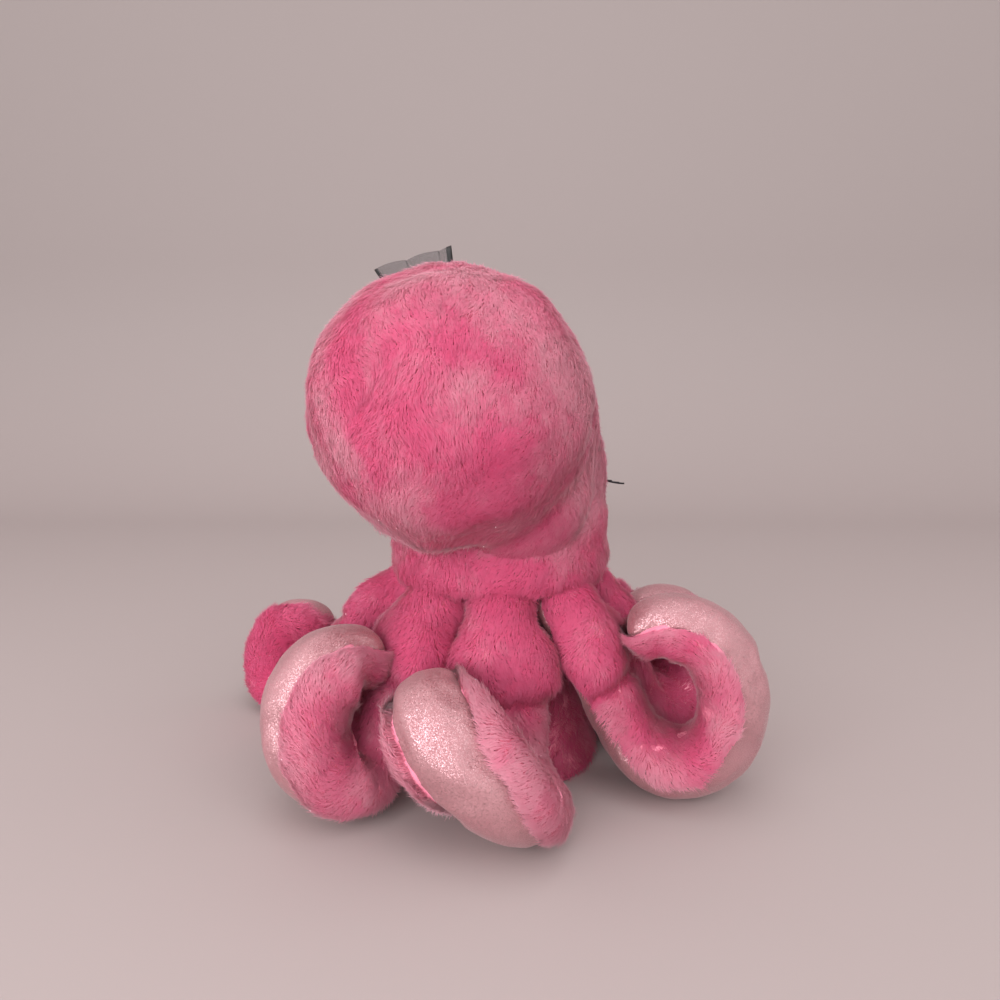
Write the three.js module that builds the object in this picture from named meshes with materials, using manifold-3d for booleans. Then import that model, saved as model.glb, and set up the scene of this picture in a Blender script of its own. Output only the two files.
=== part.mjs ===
// Plush octopus: eight curled arms that lift, a head that nods on a stuffed neck, and an organza bow
import * as THREE from "three";
import { mergeVertices } from "three/addons/utils/BufferGeometryUtils.js";
import Module from "manifold-3d";

const wasm = await Module();
wasm.setup();

// Frame: the face looks along -Y, the octopus's right is -X, and the base rests on the plane of X and Y

// Fits and sheet thicknesses, in millimetres
const seamGap = 0.3;
const furThickness = 2;
const bagThickness = 0.8;
const ribbonThickness = 0.8;
const panelThickness = 1.5;

// Head: three balls sewn as one bulb, leaning back over the neck
const faceRadius = 61;
const facePivotHeight = 170;
const crownRadius = 62;
const crownBack = 28;
const crownRise = 30;
const mantleRadius = 70;
const mantleBack = 65;
const mantleRise = 43;
const neckHoleDrop = 54;

// Neck collar and torso; heights over and under are from the face's pivot
const neckRadius = 64;
const neckBackDrop = 18;
const neckFrontDrop = 42;
const shoulderHeight = 119;
const baseRadius = 58;
const bagRadius = 42;
const bagHeight = 19;
const bagMouthRadius = 5;

// Arms
const pivotCircle = 50;
const pivotHeight = 100;
const rootRadius = 18;
const armAcross = 24;
const tipAcross = 20;
const curlRadius = 30;
const floorGap = 0.25;
const armAcrossGrowth = 45;
const armThroughFall = 70;

// Eyes, lashes and mouth
const eyeRadius = 9;
const eyeDepth = 6;
const eyeDrop = 13;
const shankRadius = 2;
const shankLength = 8;
const washerRadius = 7.5;
const washerThickness = 1.5;
const lashDrop = 3.1;
const lashBandDepth = 3;
const lashReach = 13;
const lashThickness = 1;
const mouthDrop = 18;
const mouthRadius = 11;
const mouthThread = 1;

// Bow
const knotRadius = 8;
const loopLength = 50;
const loopWidth = 45;
const loopMouth = 16;
const gatherWidth = 12;
const tailLength = 42;
const tailWidth = 30;
const tailDrop = 20;

// Shares and angles
const soleHalfAngle = 70;
const soleSegments = 4;
const furSegments = 5;
const straightSteps = 2;
const landingSteps = 2;
const curlSteps = 6;
const rootCapAngles = [-65, -33];
const tipCapAngles = [42, 80];
const eyeTurn = 50;
const lashDip = 19;
const twistShare = 0.4;
const driftRiseShare = 0.35;
const driftFall = 0.65;
const driftFallStart = 0.5;
const driftFallSpan = 0.3;
const knotSeatShare = 0.7;
const lashSpread = [-17, 18];
const lashCount = 4;
const bowNormal = new THREE.Vector3(0.527, -0.457, 0.716).normalize();
const backLoopRise = new THREE.Vector3(0.306, 0.124, 0.945).normalize();
const backLoopAcross = new THREE.Vector3(-0.876, -0.354, 0.33).normalize();

// Torso outline, from the base up, as shares of the base radius and the shoulder height
const torsoOutline = [
  { wide: 0.931, high: 0.151 },
  { wide: 0.759, high: 0.378 },
  { wide: 0.586, high: 0.605 },
  { wide: 0.552, high: 0.824 },
  { wide: 1, high: 0.95 },
];

// One row for each arm: root and heading are turned from the back towards the octopus's right,
// reach and rise are shares of the curl radius, stout is the half thickness as a share of the root's,
// and drift turns both seams round the arm
const arms = [
  { name: "right_arm_4", root: 22.5, heading: 26, slope: 73, reach: 0.87, rise: 0.85, turn: 182, lean: -0.75, twist: 26, stout: 0.889, drift: 8 },
  { name: "right_arm_3", root: 67.5, heading: 94, slope: 61, reach: 1.067, rise: 1.35, turn: 203, lean: 0, twist: 0, stout: 0.861, drift: -32 },
  { name: "right_arm_2", root: 112.5, heading: 140, slope: 62, reach: 0.967, rise: 1.067, turn: 200, lean: 0, twist: 0, stout: 0.861, drift: 0 },
  { name: "right_arm_1", root: 157.5, heading: 172, slope: 64, reach: 0.933, rise: 1.033, turn: 198, lean: 0, twist: 0, stout: 0.861, drift: 0 },
  { name: "left_arm_1", root: -157.5, heading: -160, slope: 64, reach: 0.933, rise: 1.033, turn: 198, lean: 0, twist: 0, stout: 0.861, drift: 0 },
  { name: "left_arm_2", root: -112.5, heading: -130, slope: 62, reach: 0.933, rise: 1, turn: 200, lean: 0, twist: 0, stout: 0.861, drift: 0 },
  { name: "left_arm_3", root: -67.5, heading: -100, slope: 38, reach: 0.667, rise: 0.667, turn: 188, lean: -0.4, twist: 30, stout: 0.833, drift: 0 },
  { name: "left_arm_4", root: -22.5, heading: -37, slope: 62, reach: 0.867, rise: 1.1, turn: 199, lean: 0, twist: 10, stout: 0.889, drift: 0 },
];

const looks = {
  fur: { color: "#c9607f", roughness: 0.95, metalness: 0 },
  sole: { color: "#d2a0a8", roughness: 0.6, metalness: 0.1 },
  cloth: { color: "#b4527a", roughness: 0.9, metalness: 0 },
  filling: { color: "#f0ede6", roughness: 1, metalness: 0 },
  pellet: { color: "#e8e4da", roughness: 0.5, metalness: 0 },
  eye: { color: "#0c0b0d", roughness: 0.1, metalness: 0 },
  lash: { color: "#17131a", roughness: 0.6, metalness: 0 },
  washer: { color: "#dcd8cf", roughness: 0.4, metalness: 0 },
  ribbon: { color: "#5a5458", roughness: 0.4, metalness: 0, transparent: true, opacity: 0.6 },
};

const radians = THREE.MathUtils.degToRad;
const octopus = new THREE.Group();
octopus.name = "plush_octopus";

function addPart(parent, name, geometry, look) {
  const mesh = new THREE.Mesh(geometry, new THREE.MeshStandardMaterial(looks[look]));
  mesh.name = name;
  parent.add(mesh);
  return mesh;
}

// Solids for cutting and joining
function solidFrom(geometry) {
  const bare = new THREE.BufferGeometry();
  bare.setAttribute("position", geometry.getAttribute("position"));
  if (geometry.index) bare.setIndex(geometry.index);
  const merged = mergeVertices(bare, seamGap / 1000);
  return new wasm.Manifold(
    new wasm.Mesh({
      numProp: 3,
      vertProperties: new Float32Array(merged.attributes.position.array),
      triVerts: new Uint32Array(merged.index.array),
    }),
  );
}

function geometryFrom(solid) {
  const mesh = solid.getMesh();
  const geometry = new THREE.BufferGeometry();
  geometry.setAttribute("position", new THREE.BufferAttribute(mesh.vertProperties, 3));
  geometry.setIndex(new THREE.BufferAttribute(mesh.triVerts, 1));
  const flat = geometry.toNonIndexed();
  flat.computeVertexNormals();
  return flat;
}

function ball(radius, centre, columns, rows) {
  const sphere = new THREE.SphereGeometry(radius, columns, rows);
  sphere.rotateX(Math.PI / 2);
  sphere.translate(centre.x, centre.y, centre.z);
  return solidFrom(sphere);
}

// How far in a ball's facets reach, as a share of its radius
function facetShare(columns, rows) {
  return Math.cos(Math.PI / columns) * Math.cos(Math.PI / (2 * rows));
}

// A hollow whose facets stay outside the ball that turns in it
function roomFor(radius, centre, columns, rows) {
  return ball((radius + seamGap) / facetShare(columns, rows), centre, columns, rows);
}

function lathed(points, sides) {
  const profile = points.map((point) => new THREE.Vector2(point.radius, point.height));
  const turned = new THREE.LatheGeometry(profile, sides);
  turned.rotateX(Math.PI / 2);
  return solidFrom(turned);
}

function disc(radius, bottom, top, sides) {
  const column = new THREE.CylinderGeometry(radius, radius, top - bottom, sides);
  column.rotateX(Math.PI / 2);
  column.translate(0, 0, (top + bottom) / 2);
  return solidFrom(column);
}

function pivotOf(arm) {
  const turn = radians(arm.root);
  return new THREE.Vector3(-Math.sin(turn) * pivotCircle, Math.cos(turn) * pivotCircle, pivotHeight);
}

// Head
const ballRows = [
  { radius: faceRadius, centre: new THREE.Vector3(0, 0, facePivotHeight), columns: 20, rows: 10 },
  { radius: crownRadius, centre: new THREE.Vector3(0, crownBack, facePivotHeight + crownRise), columns: 20, rows: 10 },
  { radius: mantleRadius, centre: new THREE.Vector3(0, mantleBack, facePivotHeight + mantleRise), columns: 20, rows: 10 },
];

function headSolid(inset) {
  const balls = ballRows.map((row) => ball(row.radius - inset, row.centre, row.columns, row.rows));
  return balls[0].add(balls[1]).add(balls[2]);
}

function eyeFrame(side) {
  const drop = -eyeDrop / faceRadius;
  const level = Math.sqrt(1 - drop * drop);
  const turn = radians(eyeTurn);
  const outward = new THREE.Vector3(side * Math.sin(turn) * level, -Math.cos(turn) * level, drop);
  const frame = new THREE.Group();
  frame.position.set(0, 0, facePivotHeight);
  frame.quaternion.setFromUnitVectors(new THREE.Vector3(0, 0, 1), outward);
  frame.updateMatrixWorld(true);
  return frame;
}

function eyeSolid() {
  const back = faceRadius + seamGap;
  const profile = [{ radius: 0, height: back - shankLength }];
  profile.push({ radius: shankRadius, height: back - shankLength });
  profile.push({ radius: shankRadius, height: back });
  profile.push({ radius: eyeRadius, height: back });
  const steps = 5;
  for (let step = 1; step <= steps; step++) {
    const turn = (step / steps) * (Math.PI / 2);
    profile.push({
      radius: step === steps ? 0 : eyeRadius * Math.cos(turn),
      height: back + eyeDepth * Math.sin(turn),
    });
  }
  return lathed(profile, 14);
}

function washerTop() {
  const inside = (faceRadius - furThickness) * facetShare(ballRows[0].columns, ballRows[0].rows);
  return Math.sqrt(inside * inside - washerRadius * washerRadius) - seamGap;
}

function washerSolid() {
  const top = washerTop();
  const bore = shankRadius + seamGap;
  return disc(washerRadius, top - washerThickness, top, 16).subtract(disc(bore, top - 2 * washerThickness, top + washerThickness, 16));
}

function washerPocket() {
  return disc(washerRadius + seamGap, washerTop() - washerThickness - seamGap, faceRadius, 16);
}

function shankHole() {
  return disc(shankRadius + seamGap, faceRadius - 2 * shankLength, faceRadius + shankLength, 12);
}

function lashGeometry() {
  const shape = new THREE.Shape();
  const inner = faceRadius + seamGap;
  const band = inner + lashBandDepth;
  const [first, last] = lashSpread.map(radians);
  const at = (radius, turn) => [radius * Math.sin(turn), radius * Math.cos(turn) - inner];
  shape.moveTo(...at(inner, first));
  for (let lash = 0; lash < lashCount; lash++) {
    const from = first + ((last - first) * lash) / lashCount;
    const to = first + ((last - first) * (lash + 1)) / lashCount;
    const lean = (from + to) / 2 + (last - first) * 0.08;
    shape.lineTo(...at(band, from));
    shape.lineTo(...at(inner + lashReach, lean));
    shape.lineTo(...at(band, to));
  }
  shape.lineTo(...at(inner, last));
  for (let step = 1; step < 4; step++) {
    shape.lineTo(...at(inner, last + ((first - last) * step) / 4));
  }
  const plate = new THREE.ExtrudeGeometry(shape, { depth: lashThickness, bevelEnabled: false });
  const dip = new THREE.Matrix4().set(1, 0, 0, 0, 0, 1, 0, 0, 0, -Math.tan(radians(lashDip)), 1, 0, 0, 0, 0, 1);
  plate.applyMatrix4(dip);
  plate.translate(0, inner, facePivotHeight - lashDrop - lashThickness / 2);
  return plate;
}

function mouthGeometry() {
  const points = [];
  const steps = 8;
  const off = faceRadius + mouthThread + seamGap;
  for (let step = 0; step <= steps; step++) {
    const turn = radians(205 + (130 * step) / steps);
    const sideways = mouthRadius * Math.cos(turn);
    const height = mouthRadius + mouthRadius * Math.sin(turn) - mouthDrop;
    points.push(new THREE.Vector3(sideways, -Math.sqrt(off * off - sideways * sideways - height * height), height + facePivotHeight));
  }
  const path = new THREE.CatmullRomCurve3(points);
  const thread = new THREE.Shape().absarc(0, 0, mouthThread, 0, 2 * Math.PI);
  return new THREE.ExtrudeGeometry(thread, { steps: 10, curveSegments: 4, extrudePath: path, bevelEnabled: false });
}

// Ribbon: a closed sheet along a path, with its own width and thickness at each point
function ribbonGeometry(rows) {
  const corners = [];
  for (const row of rows) {
    const half = row.across.clone().multiplyScalar(row.width / 2);
    const lift = row.normal.clone().multiplyScalar(ribbonThickness / 2);
    corners.push(row.point.clone().add(half).add(lift));
    corners.push(row.point.clone().sub(half).add(lift));
    corners.push(row.point.clone().sub(half).sub(lift));
    corners.push(row.point.clone().add(half).sub(lift));
  }
  const faces = [0, 2, 1, 0, 3, 2];
  for (let row = 0; row + 1 < rows.length; row++) {
    for (let side = 0; side < 4; side++) {
      const near = row * 4 + side;
      const next = row * 4 + ((side + 1) % 4);
      faces.push(near, next + 4, near + 4, near, next, next + 4);
    }
  }
  const end = (rows.length - 1) * 4;
  faces.push(end, end + 1, end + 2, end, end + 2, end + 3);
  return meshOf(corners, faces);
}

function meshOf(points, faces) {
  const geometry = new THREE.BufferGeometry().setFromPoints(points);
  geometry.setIndex(faces);
  const flat = geometry.toNonIndexed();
  flat.computeVertexNormals();
  return flat;
}

function knotCentre() {
  return ballRows[1].centre.clone().addScaledVector(bowNormal, crownRadius + knotRadius * knotSeatShare);
}

function loopGeometry(rise, across) {
  const through = new THREE.Vector3().crossVectors(rise, across).normalize();
  const rows = [];
  const steps = 14;
  for (let step = 0; step <= steps; step++) {
    const turn = Math.PI * (0.035 + (0.93 * step) / steps);
    const out = loopLength * Math.sin(turn);
    const offset = (loopMouth / 2) * Math.sin(2 * turn);
    const point = knotCentre().addScaledVector(rise, knotRadius + out - loopLength * Math.sin(Math.PI * 0.035) + 2 * seamGap);
    point.addScaledVector(through, offset);
    const alongRise = rise.clone().multiplyScalar(loopLength * Math.cos(turn));
    const along = alongRise.addScaledVector(through, loopMouth * Math.cos(2 * turn)).normalize();
    const normal = new THREE.Vector3().crossVectors(along, across).normalize();
    rows.push({ point, across, normal, width: gatherWidth + (loopWidth - gatherWidth) * Math.pow(Math.sin(turn), 0.8) });
  }
  return ribbonGeometry(rows);
}

function tailGeometry(towards) {
  const rows = [];
  const steps = 6;
  const out = towards.clone().addScaledVector(bowNormal, -towards.dot(bowNormal)).normalize();
  const across = new THREE.Vector3().crossVectors(out, bowNormal).normalize();
  for (let step = 0; step <= steps; step++) {
    const share = step / steps;
    const point = knotCentre().addScaledVector(out, knotRadius + 2 * seamGap + tailLength * share);
    point.addScaledVector(bowNormal, -tailDrop * share * share);
    const along = out.clone().multiplyScalar(tailLength).addScaledVector(bowNormal, -2 * tailDrop * share).normalize();
    const normal = new THREE.Vector3().crossVectors(along, across).normalize();
    rows.push({ point, across, normal, width: gatherWidth + (tailWidth - gatherWidth) * Math.sqrt(share) });
  }
  return ribbonGeometry(rows);
}

function buildHead() {
  const head = new THREE.Group();
  head.name = "head";
  const hole = disc(mantleRadius, 0, facePivotHeight - neckHoleDrop, 24);
  let skin = headSolid(0).subtract(headSolid(furThickness)).subtract(hole);
  let stuffing = headSolid(furThickness + seamGap);
  for (const side of [-1, 1]) {
    const place = eyeFrame(side).matrixWorld.elements;
    skin = skin.subtract(shankHole().transform(place));
    stuffing = stuffing.subtract(washerPocket().transform(place));
    stuffing = stuffing.subtract(shankHole().transform(place));
  }
  addPart(head, "head_fur", geometryFrom(skin), "fur");
  addPart(head, "head_filling", geometryFrom(stuffing), "filling");
  for (const side of [-1, 1]) {
    const word = side < 0 ? "right" : "left";
    const frame = eyeFrame(side);
    addPart(frame, word + "_eye", geometryFrom(eyeSolid()), "eye");
    addPart(frame, word + "_eye_washer", geometryFrom(washerSolid()), "washer");
    head.add(frame);
    const lashes = addPart(head, word + "_lashes", lashGeometry(), "lash");
    lashes.rotation.z = side < 0 ? Math.PI - radians(eyeTurn) : Math.PI + radians(eyeTurn);
    lashes.scale.x = side < 0 ? 1 : -1;
  }
  addPart(head, "mouth_stitch", mouthGeometry(), "lash");
  const mirrored = bowNormal.clone().multiplyScalar(2 * bowNormal.dot(backLoopRise)).sub(backLoopRise);
  const frontAcross = bowNormal.clone().multiplyScalar(2 * bowNormal.dot(backLoopAcross)).sub(backLoopAcross);
  const knot = ball(knotRadius, knotCentre(), 12, 8).subtract(headSolid(-seamGap));
  addPart(head, "bow_knot", geometryFrom(knot), "ribbon");
  addPart(head, "bow_back_loop", loopGeometry(backLoopRise, backLoopAcross), "ribbon");
  addPart(head, "bow_front_loop", loopGeometry(mirrored, frontAcross), "ribbon");
  addPart(head, "bow_upper_tail", tailGeometry(new THREE.Vector3(-1, -0.35, 0.2)), "ribbon");
  addPart(head, "bow_lower_tail", tailGeometry(new THREE.Vector3(1, 0.1, -0.6)), "ribbon");
  return head;
}

// Torso and neck
function sockets() {
  return arms.map((arm) => roomFor(rootRadius, pivotOf(arm), 12, 8));
}

function torsoSolid(inset, beyond) {
  const points = torsoOutline.map((row) => ({ radius: row.wide * baseRadius - inset, height: row.high * shoulderHeight }));
  const first = { radius: baseRadius - inset, height: panelThickness + seamGap };
  const last = { radius: neckRadius - inset, height: shoulderHeight };
  points.unshift(first);
  points.push(last);
  if (beyond > 0) {
    points.unshift({ radius: first.radius, height: first.height - beyond });
    points.push({ radius: last.radius, height: last.height + beyond });
  }
  points.unshift({ radius: 0, height: first.height - beyond });
  points.push({ radius: 0, height: last.height + beyond });
  return lathed(points, 24);
}

// All that lies above the slanted neckline, lowered by a drop
function aboveNeckline(drop) {
  const slant = Math.atan((neckFrontDrop - neckBackDrop) / (2 * neckRadius));
  const cover = new THREE.CylinderGeometry(2 * neckRadius, 2 * neckRadius, facePivotHeight, 16);
  cover.rotateX(Math.PI / 2);
  cover.translate(0, 0, facePivotHeight / 2);
  cover.rotateX(slant);
  cover.translate(0, 0, facePivotHeight - (neckBackDrop + neckFrontDrop) / 2 - drop);
  return solidFrom(cover);
}

function buildTorso() {
  const torso = new THREE.Group();
  torso.name = "torso";
  const neckTop = facePivotHeight - neckBackDrop;
  const neckBottom = shoulderHeight + seamGap;
  const bagBottom = panelThickness + seamGap;
  const bagTop = bagBottom + bagHeight;
  const face = ballRows[0];
  const headSpace = headSolid(-seamGap).add(roomFor(face.radius, face.centre, face.columns, face.rows));
  let cloth = torsoSolid(0, 0).subtract(torsoSolid(furThickness, panelThickness));
  let stuffing = torsoSolid(furThickness + seamGap, 0);
  stuffing = stuffing.add(disc(neckRadius - furThickness - seamGap, shoulderHeight - seamGap, neckTop, 24));
  stuffing = stuffing.subtract(headSpace).subtract(aboveNeckline(furThickness));
  stuffing = stuffing.subtract(disc(bagRadius + seamGap, 0, bagTop + seamGap, 16));
  for (const socket of sockets()) {
    cloth = cloth.subtract(socket);
    stuffing = stuffing.subtract(socket);
  }
  let collar = disc(neckRadius, neckBottom, neckTop, 24);
  collar = collar.subtract(disc(neckRadius - furThickness, 0, 2 * neckTop, 24));
  collar = collar.subtract(headSpace).subtract(aboveNeckline(0));
  const bag = disc(bagRadius, bagBottom, bagTop, 16);
  const bagInside = disc(bagRadius - bagThickness, bagBottom + bagThickness, bagTop - bagThickness, 16);
  const mouth = disc(bagMouthRadius, bagTop - 2 * bagThickness, bagTop + bagThickness, 10);
  const inset = bagThickness + seamGap;
  addPart(torso, "neck_fur", geometryFrom(collar), "fur");
  addPart(torso, "torso_cloth", geometryFrom(cloth), "cloth");
  addPart(torso, "torso_filling", geometryFrom(stuffing), "filling");
  addPart(torso, "base_panel", geometryFrom(disc(baseRadius, 0, panelThickness, 24)), "cloth");
  addPart(torso, "pellet_bag", geometryFrom(bag.subtract(bagInside).subtract(mouth)), "cloth");
  addPart(torso, "pellets", geometryFrom(disc(bagRadius - inset, bagBottom + inset, bagTop - inset, 16)), "pellet");
  return torso;
}

// Arms: stations along the middle line, in the arm's own frame with its heading along +X
function smooth(share) {
  const held = Math.min(Math.max(share, 0), 1);
  return held * held * (3 - 2 * held);
}

function middleLine(arm) {
  const slope = radians(arm.slope);
  const twist = radians(arm.twist);
  const reach = arm.reach * curlRadius;
  const rise = arm.rise * curlRadius;
  const resting = Math.hypot(arm.stout * rootRadius * Math.cos(twist), armAcross * Math.sin(twist)) + floorGap;
  const centreHeight = resting + rise - pivotHeight;
  const start = -Math.atan((Math.tan(slope) * reach) / rise);
  const startHeight = centreHeight - rise * Math.cos(start);
  const straight = -startHeight / Math.sin(slope);
  const centreOut = straight * Math.cos(slope) - reach * Math.sin(start);
  const points = [];
  for (let step = 0; step < straightSteps; step++) {
    const along = (straight * step) / straightSteps;
    points.push(new THREE.Vector3(along * Math.cos(slope), 0, -along * Math.sin(slope)));
  }
  const curl = (turn) => {
    const height = centreHeight - rise * Math.cos(turn);
    const aside = turn > 0 ? arm.lean * (height - centreHeight + rise) : 0;
    return new THREE.Vector3(centreOut + reach * Math.sin(turn), aside, height);
  };
  for (let step = 0; step < landingSteps; step++) points.push(curl(start * (1 - step / landingSteps)));
  for (let step = 0; step <= curlSteps; step++) points.push(curl((radians(arm.turn) * step) / curlSteps));
  return points;
}

function armStations(arm) {
  const points = middleLine(arm);
  const stations = [];
  let travelled = 0;
  let length = 0;
  for (let index = 1; index < points.length; index++) length += points[index].distanceTo(points[index - 1]);
  points.forEach((centre, index) => {
    if (index > 0) travelled += centre.distanceTo(points[index - 1]);
    const before = points[Math.max(index - 1, 0)];
    const after = points[Math.min(index + 1, points.length - 1)];
    const ahead = after.clone().sub(before).normalize();
    if (index === straightSteps + landingSteps) ahead.set(1, 0, 0);
    const level = new THREE.Vector3(0, 1, 0);
    const outer = new THREE.Vector3().crossVectors(level, ahead).normalize();
    const aside = new THREE.Vector3().crossVectors(outer, ahead).normalize();
    const turned = radians(arm.twist) * smooth(travelled / (length * twistShare));
    const outward = outer.clone().multiplyScalar(Math.cos(turned)).addScaledVector(aside, Math.sin(turned));
    const sideways = new THREE.Vector3().crossVectors(ahead, outward).normalize();
    const thin = smooth(travelled / armThroughFall);
    const wide = smooth(travelled / armAcrossGrowth);
    const narrow = smooth((travelled - length * 0.6) / (length * 0.4));
    const risen = smooth(travelled / (length * driftRiseShare));
    const fallen = driftFall * smooth((travelled - length * driftFallStart) / (length * driftFallSpan));
    stations.push({
      centre,
      ahead,
      outward,
      sideways,
      cap: 0,
      drift: radians(arm.drift) * risen * (1 - fallen),
      through: rootRadius + (arm.stout - 1) * rootRadius * thin,
      across: rootRadius + (armAcross - rootRadius) * wide + (tipAcross - armAcross) * narrow,
    });
  });
  const root = stations[0];
  const tip = stations[stations.length - 1];
  const before = rootCapAngles.map((cap) => ({ ...root, cap: radians(cap) }));
  const after = tipCapAngles.map((cap) => ({ ...tip, cap: radians(cap) }));
  return [...before, ...stations, ...after];
}

function sectionPoint(station, inset, seamAngle) {
  const angle = seamAngle + station.drift;
  const through = station.through - inset;
  const across = station.across - inset;
  const point = station.centre.clone().addScaledVector(station.ahead, through * Math.sin(station.cap));
  point.addScaledVector(station.outward, through * Math.cos(angle) * Math.cos(station.cap));
  return point.addScaledVector(station.sideways, across * Math.sin(angle) * Math.cos(station.cap));
}

// A skin panel between two seam angles, as one closed sheet
function panelGeometry(stations, from, to, segments) {
  const points = [];
  const columns = segments + 1;
  for (const inset of [0, furThickness]) {
    for (const station of stations) {
      for (let column = 0; column < columns; column++) {
        points.push(sectionPoint(station, inset, from + ((to - from) * column) / segments));
      }
    }
  }
  const layer = stations.length * columns;
  const faces = [];
  const quad = (a, b, c, d) => faces.push(a, d, c, a, c, b);
  const last = stations.length - 1;
  for (let row = 0; row < last; row++) {
    const near = row * columns;
    const far = near + columns;
    for (let column = 0; column < segments; column++) {
      quad(near + column, far + column, far + column + 1, near + column + 1);
      quad(layer + near + column, layer + near + column + 1, layer + far + column + 1, layer + far + column);
    }
    quad(near, layer + near, layer + far, far);
    quad(near + segments, far + segments, layer + far + segments, layer + near + segments);
  }
  for (let column = 0; column < segments; column++) {
    const end = last * columns + column;
    quad(column, column + 1, layer + column + 1, layer + column);
    quad(end, layer + end, layer + end + 1, end + 1);
  }
  return meshOf(points, faces);
}

function armFilling(stations, angles) {
  const inset = furThickness + seamGap;
  const fillingSides = angles.length;
  const rootPole = { ...stations[0], cap: -Math.PI / 2 };
  const tipPole = { ...stations[stations.length - 1], cap: Math.PI / 2 };
  const points = [sectionPoint(rootPole, inset, 0)];
  for (const station of stations) {
    for (const angle of angles) points.push(sectionPoint(station, inset, angle));
  }
  points.push(sectionPoint(tipPole, inset, 0));
  const faces = [];
  const last = points.length - 1;
  for (let side = 0; side < fillingSides; side++) {
    const next = (side + 1) % fillingSides;
    faces.push(0, 1 + next, 1 + side);
    for (let row = 0; row + 1 < stations.length; row++) {
      const near = 1 + row * fillingSides;
      const far = near + fillingSides;
      faces.push(near + side, far + next, far + side, near + side, near + next, far + next);
    }
    faces.push(last, last - fillingSides + side, last - fillingSides + next);
  }
  return meshOf(points, faces);
}

function buildArm(arm) {
  const limb = new THREE.Group();
  limb.name = arm.name;
  limb.position.copy(pivotOf(arm));
  limb.rotation.z = radians(90 + arm.heading);
  const stations = armStations(arm);
  const seam = radians(soleHalfAngle);
  const furStart = seam + seamGap / (arm.stout * rootRadius);
  const furEnd = 2 * Math.PI - furStart;
  const angles = [];
  for (let side = 0; side <= soleSegments; side++) angles.push(-seam + (2 * seam * side) / soleSegments);
  for (let side = 1; side < furSegments; side++) angles.push(furStart + ((furEnd - furStart) * side) / furSegments);
  addPart(limb, arm.name + "_fur", panelGeometry(stations, furStart, furEnd, furSegments), "fur");
  addPart(limb, arm.name + "_sole", panelGeometry(stations, -seam, seam, soleSegments), "sole");
  addPart(limb, arm.name + "_filling", armFilling(stations, angles), "filling");
  return limb;
}

octopus.add(buildTorso());
octopus.add(buildHead());
for (const arm of arms) octopus.add(buildArm(arm));

export default octopus;
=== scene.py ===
import math

import bmesh
import bpy
import numpy as np
from mathutils import Matrix, Vector


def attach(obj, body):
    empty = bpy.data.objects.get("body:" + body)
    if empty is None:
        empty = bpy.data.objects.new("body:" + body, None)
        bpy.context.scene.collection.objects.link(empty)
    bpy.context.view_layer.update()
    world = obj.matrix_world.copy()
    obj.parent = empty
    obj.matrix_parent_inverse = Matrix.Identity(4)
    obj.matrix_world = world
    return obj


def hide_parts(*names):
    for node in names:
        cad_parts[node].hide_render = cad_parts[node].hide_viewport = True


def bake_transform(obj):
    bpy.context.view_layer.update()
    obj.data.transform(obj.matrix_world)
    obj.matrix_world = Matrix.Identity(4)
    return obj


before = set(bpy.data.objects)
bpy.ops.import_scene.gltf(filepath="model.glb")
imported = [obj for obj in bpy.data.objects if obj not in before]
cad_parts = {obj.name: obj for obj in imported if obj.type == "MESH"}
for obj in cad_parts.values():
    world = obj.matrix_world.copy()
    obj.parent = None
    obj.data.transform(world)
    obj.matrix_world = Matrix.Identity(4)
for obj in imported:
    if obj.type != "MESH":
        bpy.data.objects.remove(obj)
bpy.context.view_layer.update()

bpy.ops.object.select_all(action="DESELECT")
mm = 0.001
print("frame loaded")

camera = {
    "place": (-0.1686, 0.4172, 0.221),
    "towards": (0.375, -0.927),
    "pitch": 8.3,
    "lens": 27.36,
}
studio = {
    "colours": [(0.43, 0.365, 0.36, 1), (0.43, 0.375, 0.37, 1)],  # floor and wall
    "wallDistance": 1.3,
    "bend": 0.5,
    "keyPower": 2.8,
    "fillPower": 10.2,
    "topPower": 2.6,
    "world": 1.05,
    "worldColour": (1.0, 0.95, 0.94, 1),
    "lampAim": (0, 0, 0.14),
}


def linear(red, green, blue):  # a colour written as it looks on a screen, 0 to 255
    shares = [value / 255 for value in (red, green, blue)]
    return tuple(s / 12.92 if s <= 0.04045 else ((s + 0.055) / 1.055) ** 2.4 for s in shares) + (1.0,)


# what feeds a node: another node's output is linked, anything else is set on the socket
def feed(tree, node, inputs):
    for label, value in inputs.items():
        if isinstance(value, bpy.types.NodeSocket):
            tree.links.new(value, node.inputs[label])
        else:
            node.inputs[label].default_value = value


def addNode(tree, kind, inputs=None, **settings):
    node = tree.nodes.new("ShaderNode" + kind)
    for label, value in settings.items():
        setattr(node, label, value)
    feed(tree, node, inputs or {})
    return node


def newMaterial(name, **values):
    material = bpy.data.materials.new(name)
    material.use_nodes = True
    shader = material.node_tree.nodes["Principled BSDF"]
    feed(material.node_tree, shader, {label.replace("_", " "): value for label, value in values.items()})
    return material, material.node_tree, shader


def ramped(tree, source, colours, positions=(0.3, 0.7)):
    ramp = addNode(tree, "ValToRGB", {0: source})
    elements = ramp.color_ramp.elements
    while len(elements) < len(colours):
        elements.new(0.5)
    for element, position, colour in zip(elements, positions, colours):
        element.position = position
        element.color = colour
    return ramp.outputs[0]


def scaled(tree, vector, amount):
    return addNode(tree, "VectorMath", {0: vector, "Scale": amount}, operation="SCALE").outputs[0]


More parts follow.
